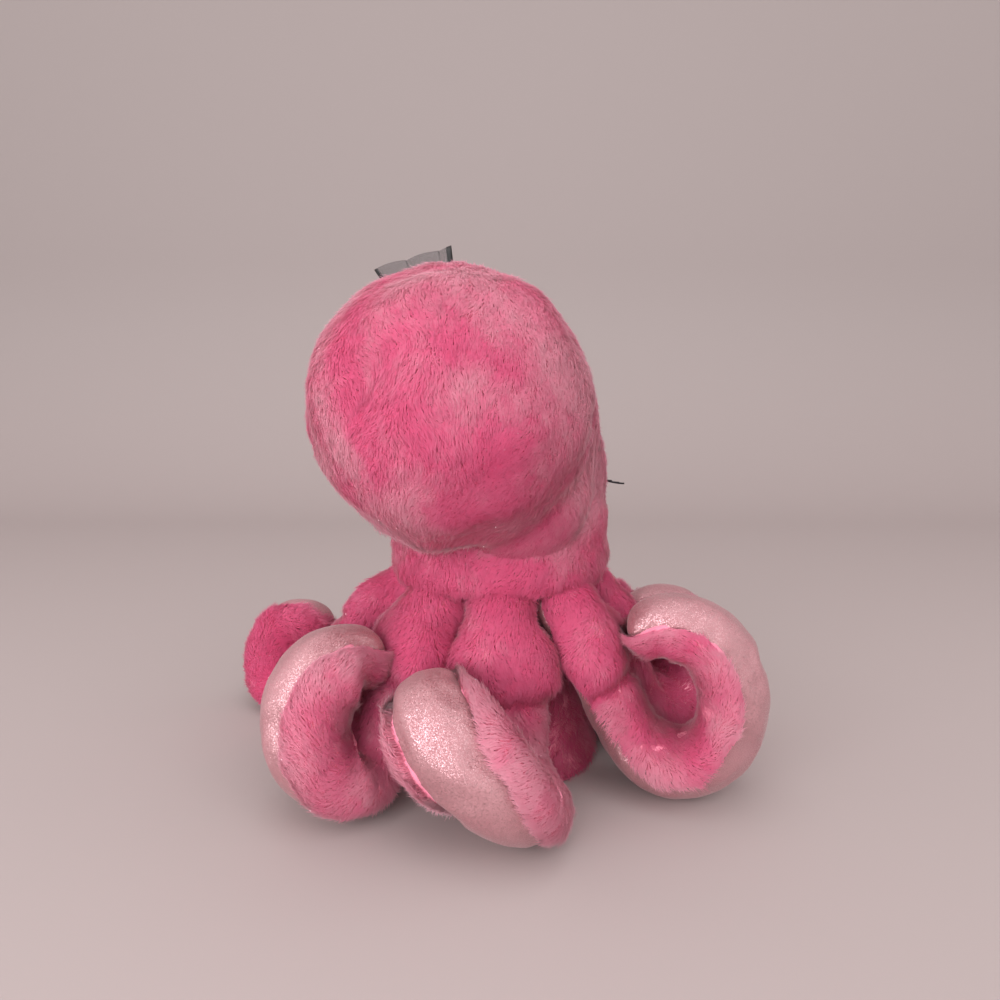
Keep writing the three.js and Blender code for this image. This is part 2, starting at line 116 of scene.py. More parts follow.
def nodeGroup(name, inputs, outputs):
    group = bpy.data.node_groups.new(name, "ShaderNodeTree")
    for label, value in inputs.items():
        socket = group.interface.new_socket(name=label, in_out="INPUT", socket_type="NodeSocketFloat")
        socket.default_value = value
    for label, kind in outputs.items():
        group.interface.new_socket(name=label, in_out="OUTPUT", socket_type="NodeSocket" + kind)
    return group, group.nodes.new("NodeGroupInput"), group.nodes.new("NodeGroupOutput")


def aimCamera():
    flat = Vector((*camera["towards"], 0)).normalized()
    pitch = math.radians(camera["pitch"])
    view = flat * math.cos(pitch) - Vector((0, 0, math.sin(pitch)))
    bpy.ops.object.camera_add(location=camera["place"], rotation=view.to_track_quat("-Z", "Y").to_euler())
    eye = bpy.context.object
    eye.name = "camera"
    eye.data.lens = camera["lens"]
    eye.data.sensor_width = 36
    eye.data.clip_start = 0.01
    bpy.context.scene.camera = eye
    return flat


def addLamp(name, place, size, power):
    aim = (Vector(studio["lampAim"]) - place).to_track_quat("-Z", "Y").to_euler()
    bpy.ops.object.light_add(type="AREA", location=place, rotation=aim)
    lamp = bpy.context.object
    lamp.name = name
    lamp.data.size = size
    lamp.data.energy = power


def buildBackdrop(ahead, side):
    bpy.ops.mesh.primitive_plane_add(size=1)
    floor = bpy.context.object
    floor.name = "studio_floor"
    wall, bend = studio["wallDistance"], studio["bend"]
    profile = [(-1.6, 0.0)]
    for step in range(13):
        turn = math.pi / 2 * step / 12
        profile.append((wall - bend * (1 - math.sin(turn)), bend * (1 - math.cos(turn))))
    profile.append((wall, 3.0))
    mesh = bmesh.new()
    last = None
    for away, height in profile:
        pair = [mesh.verts.new(ahead * away + side * half + Vector((0, 0, height))) for half in (3.0, -3.0)]
        if last:
            mesh.faces.new((last[0], last[1], pair[1], pair[0]))
        last = pair
    mesh.normal_update()
    mesh.to_mesh(floor.data)
    mesh.free()
    bpy.ops.object.shade_smooth()
    material, tree, shader = newMaterial("studioPaper", Roughness=0.9)
    parts = addNode(tree, "SeparateXYZ", {0: addNode(tree, "TexCoord").outputs["Object"]})
    feed(tree, shader, {"Base Color": ramped(tree, parts.outputs["Z"], studio["colours"], (0.0, 0.35))})
    floor.data.materials.append(material)


def buildStudio(ahead):
    side = Vector((-ahead.y, ahead.x, 0))
    buildBackdrop(ahead, side)
    addLamp("key", -ahead * 0.9 - side * 0.55 + Vector((0, 0, 1.0)), 0.7, studio["keyPower"])
    addLamp("fill", -ahead * 1.0 + side * 0.5 + Vector((0, 0, 0.3)), 0.9, studio["fillPower"])
    addLamp("top", -ahead * 0.15 + Vector((0, 0, 1.3)), 0.9, studio["topPower"])
    world = bpy.data.worlds.new("studio")
    bpy.context.scene.world = world
    world.use_nodes = True
    background = world.node_tree.nodes["Background"]
    feed(world.node_tree, background, {"Color": studio["worldColour"], "Strength": studio["world"]})
    bpy.context.scene.view_settings.view_transform = "Standard"


buildStudio(aimCamera())
print("camera and studio ready")


# smooth noise as a sum of waves, so that neighbouring pieces agree along their seams
def softNoise(points, size, seed, waves=20):
    draw = np.random.default_rng(seed)
    ways = draw.normal(size=(waves, 3))
    ways /= np.linalg.norm(ways, axis=1)[:, None]
    pitch = 2 * np.pi / size * draw.uniform(0.55, 1.6, waves)
    turns = points @ (ways * pitch[:, None]).T + draw.uniform(0, 2 * np.pi, waves)
    return np.sin(turns).sum(axis=1) * math.sqrt(2 / waves)


def unit(vectors):
    return vectors / np.maximum(np.linalg.norm(vectors, axis=-1, keepdims=True), 1e-12)


def smoothShare(share):
    held = np.clip(share, 0, 1)
    return held * held * (3 - 2 * held)


def meshPiece(name, points, faces, material=None):
    mesh = bpy.data.meshes.new(name)
    faces = np.asarray(faces)
    mesh.vertices.add(len(points))
    mesh.vertices.foreach_set("co", np.asarray(points, dtype=np.float32).ravel())
    corners = faces.shape[1]
    mesh.loops.add(faces.size)
    mesh.loops.foreach_set("vertex_index", faces.ravel().astype(np.int32))
    mesh.polygons.add(len(faces))
    mesh.polygons.foreach_set("loop_start", np.arange(0, faces.size, corners, dtype=np.int32))
    mesh.polygons.foreach_set("use_smooth", np.ones(len(faces), dtype=bool))
    mesh.update(calc_edges=True)
    piece = bpy.data.objects.new(name, mesh)
    bpy.context.scene.collection.objects.link(piece)
    if material:
        mesh.materials.append(material)
    return piece


def vertexArray(piece):
    places = np.empty(len(piece.data.vertices) * 3, dtype=np.float32)
    piece.data.vertices.foreach_get("co", places)
    return places.reshape(-1, 3).astype(float)


def putVertices(piece, places):
    piece.data.vertices.foreach_set("co", np.asarray(places, dtype=np.float32).ravel())
    piece.data.update()


def triangleArrays(piece):
    mesh = piece.data
    mesh.calc_loop_triangles()
    corners = np.empty(len(mesh.loop_triangles) * 3, dtype=np.int32)
    mesh.loop_triangles.foreach_get("vertices", corners)
    normals = np.empty(len(mesh.vertices) * 3, dtype=np.float32)
    mesh.vertices.foreach_get("normal", normals)
    return vertexArray(piece), corners.reshape(-1, 3), normals.reshape(-1, 3).astype(float)


def activate(piece):
    bpy.ops.object.select_all(action="DESELECT")
    bpy.context.view_layer.objects.active = piece
    piece.select_set(True)


def applyModifiers(piece):
    activate(piece)
    for modifier in list(piece.modifiers):
        bpy.ops.object.modifier_apply(modifier=modifier.name)


def roundOff(piece, levels=1):
    fine = piece.modifiers.new("fine", "SUBSURF")
    fine.levels = fine.render_levels = levels
    applyModifiers(piece)
    bpy.ops.object.shade_smooth()


def dress(piece, material):
    piece.data.materials.clear()
    piece.data.materials.append(material)


def giveWall(piece, thickness):
    wall = piece.modifiers.new("wall", "SOLIDIFY")
    wall.thickness = thickness * mm
    wall.offset = 0
    applyModifiers(piece)


def addMap(piece, places):
    layer = piece.data.uv_layers.new(name="OFBake")
    layer.data.foreach_set("uv", np.asarray(places, dtype=np.float32).ravel())


def joined(pieces, name):
    activate(pieces[0])
    for piece in pieces:
        piece.select_set(True)
    bpy.ops.object.join()
    bpy.context.object.name = name
    return bpy.context.object


def editAll():
    bpy.ops.object.mode_set(mode="EDIT")
    bpy.ops.mesh.select_all(action="SELECT")


def leaveEdit():
    bpy.ops.object.mode_set(mode="OBJECT")


# quads of a grid of points, row by row; a closed one joins its last column to its first
def gridFaces(rows, columns, closed=False):
    quads = []
    for row in range(rows - 1):
        for column in range(columns if closed else columns - 1):
            a, b = row * columns + column, row * columns + (column + 1) % columns
            quads.append((a, b, b + columns, a + columns))
    return quads


# triangles that close a tube to one more point at each end
def tubeEnds(rows, columns):
    ends, last = [], (rows - 1) * columns
    for a in range(columns):
        b = (a + 1) % columns
        ends += [(last + columns, b, a), (last + columns + 1, last + a, last + b)]
    return ends


def tubeTriangles(rows, columns):
    quads = gridFaces(rows, columns, True)
    return [(a, b, c) for a, b, c, d in quads] + [(a, c, d) for a, b, c, d in quads] + tubeEnds(rows, columns)


# swells a closed skin by cloth simulation: the pinned points stay, and no point moves further than most
def stuff(piece, pressure, most, pinned=()):
    start = vertexArray(piece)
    cloth = piece.modifiers.new("stuffing", "CLOTH")
    cloth.settings.quality = 4
    cloth.settings.mass = 0.3
    cloth.settings.use_pressure = True
    cloth.settings.uniform_pressure_force = pressure
    cloth.settings.shrink_min = -0.03
    cloth.settings.effector_weights.gravity = 0
    cloth.collision_settings.use_collision = False
    if len(pinned):
        group = piece.vertex_groups.new(name="held")
        group.add([int(index) for index in pinned], 1.0, "REPLACE")
        cloth.settings.vertex_group_mass = "held"
    for step in range(1, 21):
        bpy.context.scene.frame_set(step)
    activate(piece)
    bpy.ops.object.modifier_apply(modifier=cloth.name)
    bpy.context.scene.frame_set(1)
    moved = vertexArray(piece) - start
    far = np.linalg.norm(moved, axis=1, keepdims=True)
    moved *= np.minimum(1, most / np.maximum(far, 1e-9))
    putVertices(piece, start + moved)


# a round strand along a path, with its radius at each point and closed ends
def strand(name, path, radii, sides, material):
    path = np.asarray(path, dtype=float)
    onward = unit(np.gradient(path, axis=0))
    spare = np.where(np.abs(onward[:1, 2:]) < 0.9, [[0, 0, 1.0]], [[1.0, 0, 0]])
    ring = []
    side = unit(np.cross(onward[0], spare[0]))
    for index, way in enumerate(onward):
        side = unit(side - way * (side @ way))
        other = np.cross(way, side)
        turns = np.linspace(0, 2 * np.pi, sides, endpoint=False)
        around = side * np.cos(turns)[:, None] + other * np.sin(turns)[:, None]
        ring.append(path[index] + around * radii[index])
    points = np.concatenate([np.concatenate(ring), path[:1], path[-1:]])
    return meshPiece(name, points, tubeTriangles(len(path), sides), material)


# tiny reflecting flecks scattered over a surface: which places are a fleck, and how each one is tilted
def sparkleGroup():
    group, given, out = nodeGroup(
        "sparkle", {"Size": 2000.0, "Share": 0.2, "Tilt": 0.6}, {"Fleck": "Float", "Normal": "Vector"}
    )
    spot = addNode(group, "TexCoord").outputs["Object"]
    cells = addNode(group, "TexVoronoi", {"Vector": spot, "Scale": given.outputs["Size"]}).outputs["Color"]
    parts = addNode(group, "SeparateColor", {0: cells})
    picked = addNode(group, "Math", {0: parts.outputs[0], 1: given.outputs["Share"]}, operation="LESS_THAN")
    centred = addNode(group, "VectorMath", {0: cells, 1: (0.5, 0.5, 0.5)}, operation="SUBTRACT")
    amount = addNode(group, "Math", {0: given.outputs["Tilt"], 1: picked.outputs[0]}, operation="MULTIPLY")
    tilted = scaled(group, centred.outputs[0], amount.outputs[0])
    facing = addNode(group, "NewGeometry").outputs["Normal"]
    added = addNode(group, "VectorMath", {0: facing, 1: tilted})
    straight = addNode(group, "VectorMath", {0: added.outputs[0]}, operation="NORMALIZE")
    feed(group, out, {"Fleck": picked.outputs[0], "Normal": straight.outputs[0]})
    return group


# two tones in soft patches, with a grain of raised cells
def mottleGroup():
    group, given, out = nodeGroup(
        "mottle", {"Patch": 60.0, "Grain": 900.0, "Relief": 0.5}, {"Tone": "Float", "Normal": "Vector"}
    )
    spot = addNode(group, "TexCoord").outputs["Object"]
    patch = addNode(group, "TexNoise", {"Vector": spot, "Scale": given.outputs["Patch"], "Detail": 6})
    grain = addNode(group, "TexVoronoi", {"Vector": spot, "Scale": given.outputs["Grain"]})
    height = {"Height": grain.outputs["Distance"], "Strength": given.outputs["Relief"], "Distance": 0.0004}
    bump = addNode(group, "Bump", height)
    feed(group, out, {"Tone": patch.outputs["Fac"], "Normal": bump.outputs[0]})
    return group


sparkle = sparkleGroup()
mottle = mottleGroup()

furLook = {
    # the roots are painted nearly as pale as the middle: painted light against the shade deep in the pile
    "rootToTip": [linear(240, 142, 168), linear(240, 150, 172), linear(242, 172, 188)],
    "deepToPale": [linear(245, 144, 191), linear(250, 173, 210), linear(255, 255, 255)],
    "roughness": 0.85,
    "sheen": 0.7,
    "sheenTint": (1.0, 0.82, 0.86, 1),
    "through": 0.5,
}


# fibre colour from root to tip along the map's height, and each lock's tone along its width
def pileMaterial():
    material, tree, shader = newMaterial(
        "plushPile", Roughness=furLook["roughness"], Specular_IOR_Level=0.2,
        Sheen_Weight=furLook["sheen"], Sheen_Roughness=0.4, Sheen_Tint=furLook["sheenTint"],
    )
    parts = addNode(tree, "SeparateXYZ", {0: addNode(tree, "UVMap", uv_map="OFBake").outputs[0]})
    along = ramped(tree, parts.outputs["Y"], furLook["rootToTip"], (0.0, 0.5, 1.0))
    tone = ramped(tree, parts.outputs["X"], furLook["deepToPale"], (0.0, 0.5, 1.0))
    mixing = {"data_type": "RGBA", "blend_type": "MULTIPLY"}
    tinted = addNode(tree, "Mix", {0: 1.0, 6: along, 7: tone}, **mixing).outputs[2]
    facing = addNode(tree, "NewGeometry")  # the back of a fibre is lit as its front is
    turned = addNode(tree, "Math", {0: facing.outputs["Backfacing"], 1: -2, 2: 1}, operation="MULTIPLY_ADD")
    same = scaled(tree, facing.outputs["Normal"], turned.outputs[0])
    feed(tree, shader, {"Base Color": tinted, "Normal": same})
    # a fibre passes on the light from its far side
    through = addNode(tree, "BsdfTranslucent", {"Color": tinted, "Normal": scaled(tree, same, -1)})
    both = addNode(tree, "MixShader", {0: furLook["through"], 1: shader.outputs[0], 2: through.outputs[0]})
    feed(tree, tree.nodes["Material Output"], {"Surface": both.outputs[0]})
    return material


def clothMaterial(name, deep, pale, patch, grain, relief=0.5, roughness=0.9, **values):
    material, tree, shader = newMaterial(name, Roughness=roughness, **values)
    surface = addNode(tree, "Group", {"Patch": patch, "Grain": grain, "Relief": relief}, node_tree=mottle)
    colour = ramped(tree, surface.outputs["Tone"], [linear(*deep), linear(*pale)])
    feed(tree, shader, {"Base Color": colour, "Normal": surface.outputs["Normal"]})
    return material


velourLook = {
    "deepToPale": [linear(168, 112, 119), linear(182, 130, 136)],
    "patch": 55,
    "fleck": linear(204, 160, 166),
    "flecks": {"Size": 3800.0, "Share": 0.35, "Tilt": 0.7},
    "roughness": {"To Min": 0.75, "To Max": 0.3},  # of the nap and of a fleck
    "nap": 2200,
}


# short pale nap in soft patches with fine bright flecks
def velourMaterial():
    material, tree, shader = newMaterial(
        "glitterVelour", Sheen_Weight=0.2, Sheen_Roughness=0.35, Sheen_Tint=(1.0, 0.9, 0.92, 1)
    )
    spot = addNode(tree, "TexCoord").outputs["Object"]
    patch = addNode(tree, "TexNoise", {"Vector": spot, "Scale": velourLook["patch"], "Detail": 8})
    base = ramped(tree, patch.outputs["Fac"], velourLook["deepToPale"])
    flecks = addNode(tree, "Group", velourLook["flecks"], node_tree=sparkle)
    picked = flecks.outputs["Fleck"]
    mixed = addNode(tree, "Mix", {0: picked, 6: base, 7: velourLook["fleck"]}, data_type="RGBA")
    rough = addNode(tree, "MapRange", {0: picked, **velourLook["roughness"]})
    nap = addNode(tree, "TexNoise", {"Vector": spot, "Scale": velourLook["nap"], "Detail": 3})
    height = {"Height": nap.outputs["Fac"], "Strength": 0.25, "Distance": 0.0002}
    bump = addNode(tree, "Bump", {**height, "Normal": flecks.outputs["Normal"]})
    feed(tree, shader, {"Base Color": mixed.outputs[2], "Metallic": picked})
    feed(tree, shader, {"Roughness": rough.outputs[0], "Normal": bump.outputs[0]})
    return material


organzaLook = {
    "gapToThread": [linear(120, 114, 116), linear(84, 78, 82)],
    "edge": linear(16, 14, 16),
    "border": {"From Min": 0.45, "From Max": 0.46},  # where the edge starts, from the ribbon's middle
    "pitch": 0.02,
    "cover": {"To Min": 0.07, "To Max": 0.26},  # of a gap and of a thread
}


# sheer plain weave with a closer, darker woven edge, along the piece's own map
def organzaMaterial():
    material, tree, shader = newMaterial("organza", Roughness=0.38, Specular_IOR_Level=0.5)
    spot = addNode(tree, "UVMap", uv_map="OFBake").outputs[0]
    weaving = {"Vector": spot, "Scale": 1 / organzaLook["pitch"], "Distortion": 0.3}
    warp, weft = (addNode(tree, "TexWave", weaving, bands_direction=way).outputs["Fac"] for way in "XY")
    weave = addNode(tree, "Math", {0: warp, 1: weft}, operation="MAXIMUM").outputs[0]
    tint = ramped(tree, weave, organzaLook["gapToThread"], (0.2, 0.8))
    parts = addNode(tree, "SeparateXYZ", {0: spot})
    fromMiddle = addNode(tree, "Math", {0: parts.outputs["X"], 1: 0.5}, operation="SUBTRACT")
    away = addNode(tree, "Math", {0: fromMiddle.outputs[0]}, operation="ABSOLUTE")
    border = addNode(tree, "MapRange", {0: away.outputs[0], **organzaLook["border"]}).outputs[0]
    colour = addNode(tree, "Mix", {0: border, 6: tint, 7: organzaLook["edge"]}, data_type="RGBA")
    veil = addNode(tree, "MapRange", {0: weave, **organzaLook["cover"]})
    cover = addNode(tree, "Math", {0: veil.outputs[0], 1: border}, operation="MAXIMUM")
    bump = addNode(tree, "Bump", {"Height": weave, "Strength": 0.3, "Distance": 0.0001})
    feed(tree, shader, {"Base Color": colour.outputs[2], "Alpha": cover.outputs[0]})
    feed(tree, shader, {"Normal": bump.outputs[0]})
    return material


pile = pileMaterial()
velour = velourMaterial()
organza = organzaMaterial()
# each cloth's deep and pale colour, patches, grain, relief and roughness
# the backing is painted pale: painted light that fills the shade seen in the gaps of the pile
backing = clothMaterial("plushBacking", (244, 140, 168), (250, 156, 180), 60, 1400)
underside = clothMaterial("undersideCloth", (196, 84, 116), (212, 112, 140), 90, 1100)
calico = clothMaterial("calicoBag", (214, 204, 188), (232, 224, 210), 80, 1500)
cotton = clothMaterial("cottonFilling", (226, 222, 214), (244, 241, 236), 120, 400)
beads = clothMaterial("pelletBeads", (222, 218, 208), (240, 236, 228), 200, 330, 0.9, 0.4)
nylon = clothMaterial("nylonWasher", (206, 202, 192), (224, 220, 212), 120, 600, 0.15, 0.42)
glassEye = clothMaterial("glossyEye", (10, 9, 12), (22, 18, 24), 60, 200, 0.02, 0.08, Coat_Weight=1.0)
lashFelt = clothMaterial("lashFelt", (18, 14, 20), (34, 28, 36), 300, 1800, 0.6, 0.75)
stitch = clothMaterial("stitchThread", (30, 22, 30), (52, 40, 50), 500, 2200, 0.5, 0.6)
stitchPink = clothMaterial("stitchPink", (206, 96, 128), (226, 128, 156), 500, 2200, 0.5, 0.7)
glitter = clothMaterial("glitterFleck", (255, 232, 238), (255, 246, 248), 400, 600, 0.0, 0.2, Metallic=0.8)
print("materials ready")

pileSize = {
    "length": 6.6 * mm,
    "sink": 1.0 * mm,  # the skin hides this much of each fibre
    "rise": 0.38,
    "lean": 0.86,
    "halfWidth": 0.23 * mm,
    "lock": 3.0 * mm,
    "gather": 0.02,
    "tilt": 0.05,
    "swirl": 0.4,
    "patch": 45 * mm,
    "glints": 400,
    "spin": 0.7,
    "floorGap": 0.35 * mm,
}


# random places over a skin's triangles, in proportion to their area; the fields given per point are blended
def scatter(points, corners, normals, fields, count, seed):
    draw = np.random.default_rng(seed)
    a, b, c = (points[corners[:, k]] for k in range(3))
    area = np.linalg.norm(np.cross(b - a, c - a), axis=1)
    chosen = draw.choice(len(corners), size=count, p=area / area.sum())
    first, second = draw.random(count), draw.random(count)
    flip = first + second > 1
    first[flip], second[flip] = 1 - first[flip], 1 - second[flip]
    weights = np.stack([1 - first - second, first, second], axis=1)
    blend = lambda values: (values[corners[chosen]] * weights[:, :, None]).sum(axis=1)
    return blend(points), unit(blend(normals)), [blend(field) for field in fields]


# neighbouring fibres share a lock: its middle, its tilt and its number
def lockFibres(roots, normals, size, draw):
    warp = np.stack([softNoise(roots, 7 * mm, 20 + k) for k in range(3)], axis=1) * size["lock"] * 0.45
    cells = np.floor((roots + warp) / size["lock"]).astype(np.int64)
    key = (cells[:, 0] * 73856093) ^ (cells[:, 1] * 19349663) ^ (cells[:, 2] * 83492791)
    _, lock = np.unique(key, return_inverse=True)
    number = np.bincount(lock)
    centre = np.stack([np.bincount(lock, roots[:, k]) / number for k in range(3)], axis=1)[lock]
    towards = centre - roots
    towards -= normals * (towards * normals).sum(axis=1, keepdims=True)
    return towards, draw.normal(0, size["tilt"], (len(number), 3))[lock]


# pile of flat fibres grown from a skin and combed; longer scales each fibre and shade darkens its tone
def growPile(name, roots, normals, combs, seed, longer=1.0, shade=0.0, lift=0.0):
    size = pileSize
    rise = size["rise"] + np.reshape(lift, (-1, 1))
    count = len(roots)
    draw = np.random.default_rng(seed)
    combs = unit(combs - normals * (combs * normals).sum(axis=1, keepdims=True))
    turn = size["swirl"] * softNoise(roots, size["patch"], 11) + 0.14 * softNoise(roots, 12 * mm, 12)
    across = np.cross(normals, combs)
    combs = combs * np.cos(turn)[:, None] + across * np.sin(turn)[:, None]
    across = np.cross(combs, normals)
    towards, tilt = lockFibres(roots, normals, size, draw)
    ragged = 1 + 0.08 * softNoise(roots, 14 * mm, 30) + 0.09 * draw.normal(size=count) + 0.1 * tilt[:, 0]
    length = size["length"] * longer * np.clip(ragged, 0.6, 1.3)
    early = unit(normals * (rise + 0.3) + combs * size["lean"] * 0.5 + tilt * 0.5
                 + draw.normal(0, 0.07, (count, 3)))
    late = unit(normals * rise + combs * size["lean"] + tilt + draw.normal(0, 0.12, (count, 3)))
    roots = roots - normals * size["sink"]
    foot = roots - normals * 0.1 * mm
    middle = roots + early * length[:, None] * 0.5 + towards * size["gather"] * 0.3
    tip = roots + late * length[:, None] + towards * size["gather"]
    for places in (middle, tip):  # no fibre goes through the floor
        places[:, 2] = np.maximum(places[:, 2], size["floorGap"])
    spin = draw.uniform(-size["spin"], size["spin"], count)[:, None]
    wide = unit(across * np.cos(spin) + np.cross(early, across) * np.sin(spin))
    half = wide * size["halfWidth"]
    points = np.stack([foot, middle + half, middle - half, tip], axis=1).reshape(-1, 3)
    start = np.arange(count)[:, None] * 4
    faces = np.concatenate([start + [0, 1, 2], start + [2, 1, 3]], axis=1).reshape(-1, 3)
    # glints: loose flakes of glitter caught between the tips
    glints = min(count // 150, size["glints"])
    caught = draw.choice(count, glints, replace=False)
    flat = unit(draw.normal(size=(glints, 3)))
    other = unit(np.cross(flat, draw.normal(size=(glints, 3))))
    heart = tip[caught] * 0.7 + middle[caught] * 0.3
    flake = [heart + flat * 0.24 * mm, heart - flat * 0.12 * mm + other * 0.2 * mm,
             heart - flat * 0.12 * mm - other * 0.2 * mm]
    flake = np.stack(flake, axis=1).reshape(-1, 3)
    flakeFaces = np.arange(glints * 3).reshape(-1, 3) + len(points)
    piece = meshPiece(name, np.concatenate([points, flake]), np.concatenate([faces, flakeFaces]), pile)
    mesh = piece.data
    mesh.materials.append(glitter)
    slots = np.zeros(len(mesh.polygons), dtype=np.int32)
    slots[len(faces):] = 1
    mesh.polygons.foreach_set("material_index", slots)
    tone = 0.5 + 0.1 * softNoise(roots, 38 * mm, 40) + 0.04 * softNoise(roots, 9 * mm, 41)
    tone = np.clip(tone + 0.03 * draw.normal(size=count) + 0.3 * tilt[:, 1] - 0.5 * shade, 0.03, 0.97)
    edge = np.array([0.0, 0.01, -0.01, 0.0])
    height = np.array([0.02, 0.5, 0.5, 0.98])
    places = np.stack([tone[:, None] + edge, np.broadcast_to(height, (count, 4))], axis=2).reshape(-1, 2)
    places = np.concatenate([places, np.full((glints * 3, 2), 0.9)])
    addMap(piece, places[np.concatenate([faces.ravel(), flakeFaces.ravel()])])
    hump = unit(normals + tilt * 0.5 - towards / size["lock"] * 0.1 + draw.normal(0, 0.03, (count, 3)))
    leaning = unit(hump + (tip - foot) / size["length"] * 0.1)
    shading = np.stack([hump, hump, hump, leaning], axis=1).reshape(-1, 3)
    shading = np.concatenate([shading, np.repeat(np.cross(flat, other), 3, axis=0)])
    mesh.normals_split_custom_set_from_vertices(shading.astype(np.float32))
    return piece


def finishSoft(node):
    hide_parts(node)


head = {
    "balls": [  # centre and radius: the face, the crown, the mantle, and two that fill out the nape
        ((0, 0, 170), 61),
        ((0, 28, 200), 62),
        ((0, 65, 213), 70),
        ((-16, 23, 161), 42),
        ((5, 27, 157), 39),
    ],
    "skinDepth": 1.3,
    "skinVoxel": 4.0,
    "dent": 0.8,
    "dimples": [  # soft hollows and fillings-out of the stuffing: place, reach and depth
        ((6, 137, 208), 20, 1.8),
        ((-40, 119, 184), 18, 2.4),
        ((-34, 122, 246), 16, 1.4),
        ((30, 60, 268), 22, 1.6),
        ((-62, 48, 246), 20, 1.4),
        ((66, 62, 196), 20, 1.6),
        ((0, 66, 283), 55, 4.2),
        ((-20, 58, 148), 16, -4.0),
        ((-37, 50, 155), 16, -4.0),
        ((-50, 38, 168), 16, -3.5),
    ],
    "fillingDepth": 6.0,
    "fillingVoxel": 6.0,
    "opening": 118,  # the pile starts above the neck opening
    "regionLine": 42,  # the pile changes piece here and at the middle
    "fibres": 84000,
    "comb": (0, 0.35, -1),  # the pile runs back over the crown and down the sides
    "brushedAndPaintedLight": [  # where the pile lies paler or deeper, with painted light: the paler patches on the top and the right side are partly painted sheen and painted light, the deeper ones in the hollows are painted shade: place, reach and amount
        ((42, 105, 256), 28, 0.4),
        ((-25, 99, 271), 34, 0.5),
        ((-36, 125, 229), 9, 0.3),
        ((-1, 123, 170), 24, 0.5),
        ((40, 122, 196), 22, 0.4),
        ((-70, 77, 223), 28, 0.65),
        ((-62, 13, 172), 30, 0.6),
        ((7, 137, 212), 20, -0.1),
        ((-42, 117, 187), 18, -0.3),
        ((-9, 89, 148), 16, -0.15),
        ((-33, 120, 250), 15, -0.1),
    ],
    "eyeTurn": 50,
    "eyeDrop": 13,
    "eyeClearing": 10.0,
    "mouthClearing": 1.8,
}


def eyeWay(side):
    drop = -head["eyeDrop"] / 61
    level = math.sqrt(1 - drop * drop)
    turn = math.radians(head["eyeTurn"])
    return Vector((side * math.sin(turn) * level, -math.cos(turn) * level, drop))


facePivot = Vector((0, 0, 170 * mm))
eyeWays = {"right": eyeWay(-1), "left": eyeWay(1)}

mouth = {
    "radius": 11.0,
    "drop": 18.0,
    "first": 205,
    "last": 335,
    "lift": 1.3,
    "thread": 0.62,
    "ply": 0.5,
    "twists": 13,
}


def mouthPath(count, lift):
    turns = np.radians(np.linspace(mouth["first"], mouth["last"], count))
    wide = mouth["radius"] * np.cos(turns)
    high = mouth["radius"] * (1 + np.sin(turns)) - mouth["drop"]
    deep = -np.sqrt((61 + lift) ** 2 - wide ** 2 - high ** 2)
    return np.stack([wide, deep, high + 170], axis=1) * mm


def clearOfFace(roots):
    keep = np.ones(len(roots), dtype=bool)
    for way in eyeWays.values():
        keep &= np.linalg.norm(roots - np.array(facePivot + way * 0.061), axis=1) > head["eyeClearing"] * mm
    for spot in mouthPath(24, 0):
        keep &= np.linalg.norm(roots - spot, axis=1) > head["mouthClearing"] * mm
    return keep


def addBall(place, radius, segments, rings):
    bpy.ops.mesh.primitive_uv_sphere_add(
        segments=segments, ring_count=rings, radius=radius * mm, location=place
    )
    return bpy.context.object


def bulb(name, depth, voxel, rounds):
    balls = []
    for centre, radius in head["balls"]:
        balls.append(addBall([value * mm for value in centre], radius - depth, 48, 24))
    piece = joined(balls, name)
    bpy.ops.object.transform_apply(location=True, rotation=True, scale=True)
    remesh = piece.modifiers.new("remesh", "REMESH")
    remesh.mode = "VOXEL"
    remesh.voxel_size = voxel * mm
    smooth = piece.modifiers.new("smooth", "SMOOTH")
    smooth.factor = 0.5
    smooth.iterations = rounds
    applyModifiers(piece)
    bpy.ops.object.shade_smooth()
    return piece


def combed(places, way):
    return np.tile(np.array(way, dtype=float), (len(places), 1))


# paler and deeper patches of the pile's tone, partly painted light and painted shade
def brushedAndPaintedLightTone(places):
    tone = np.zeros(len(places))
    for centre, reach, amount in head["brushedAndPaintedLight"]:
        away = np.linalg.norm(places / mm - centre, axis=1) / reach
        tone += amount * np.exp(-away ** 2)
    return tone


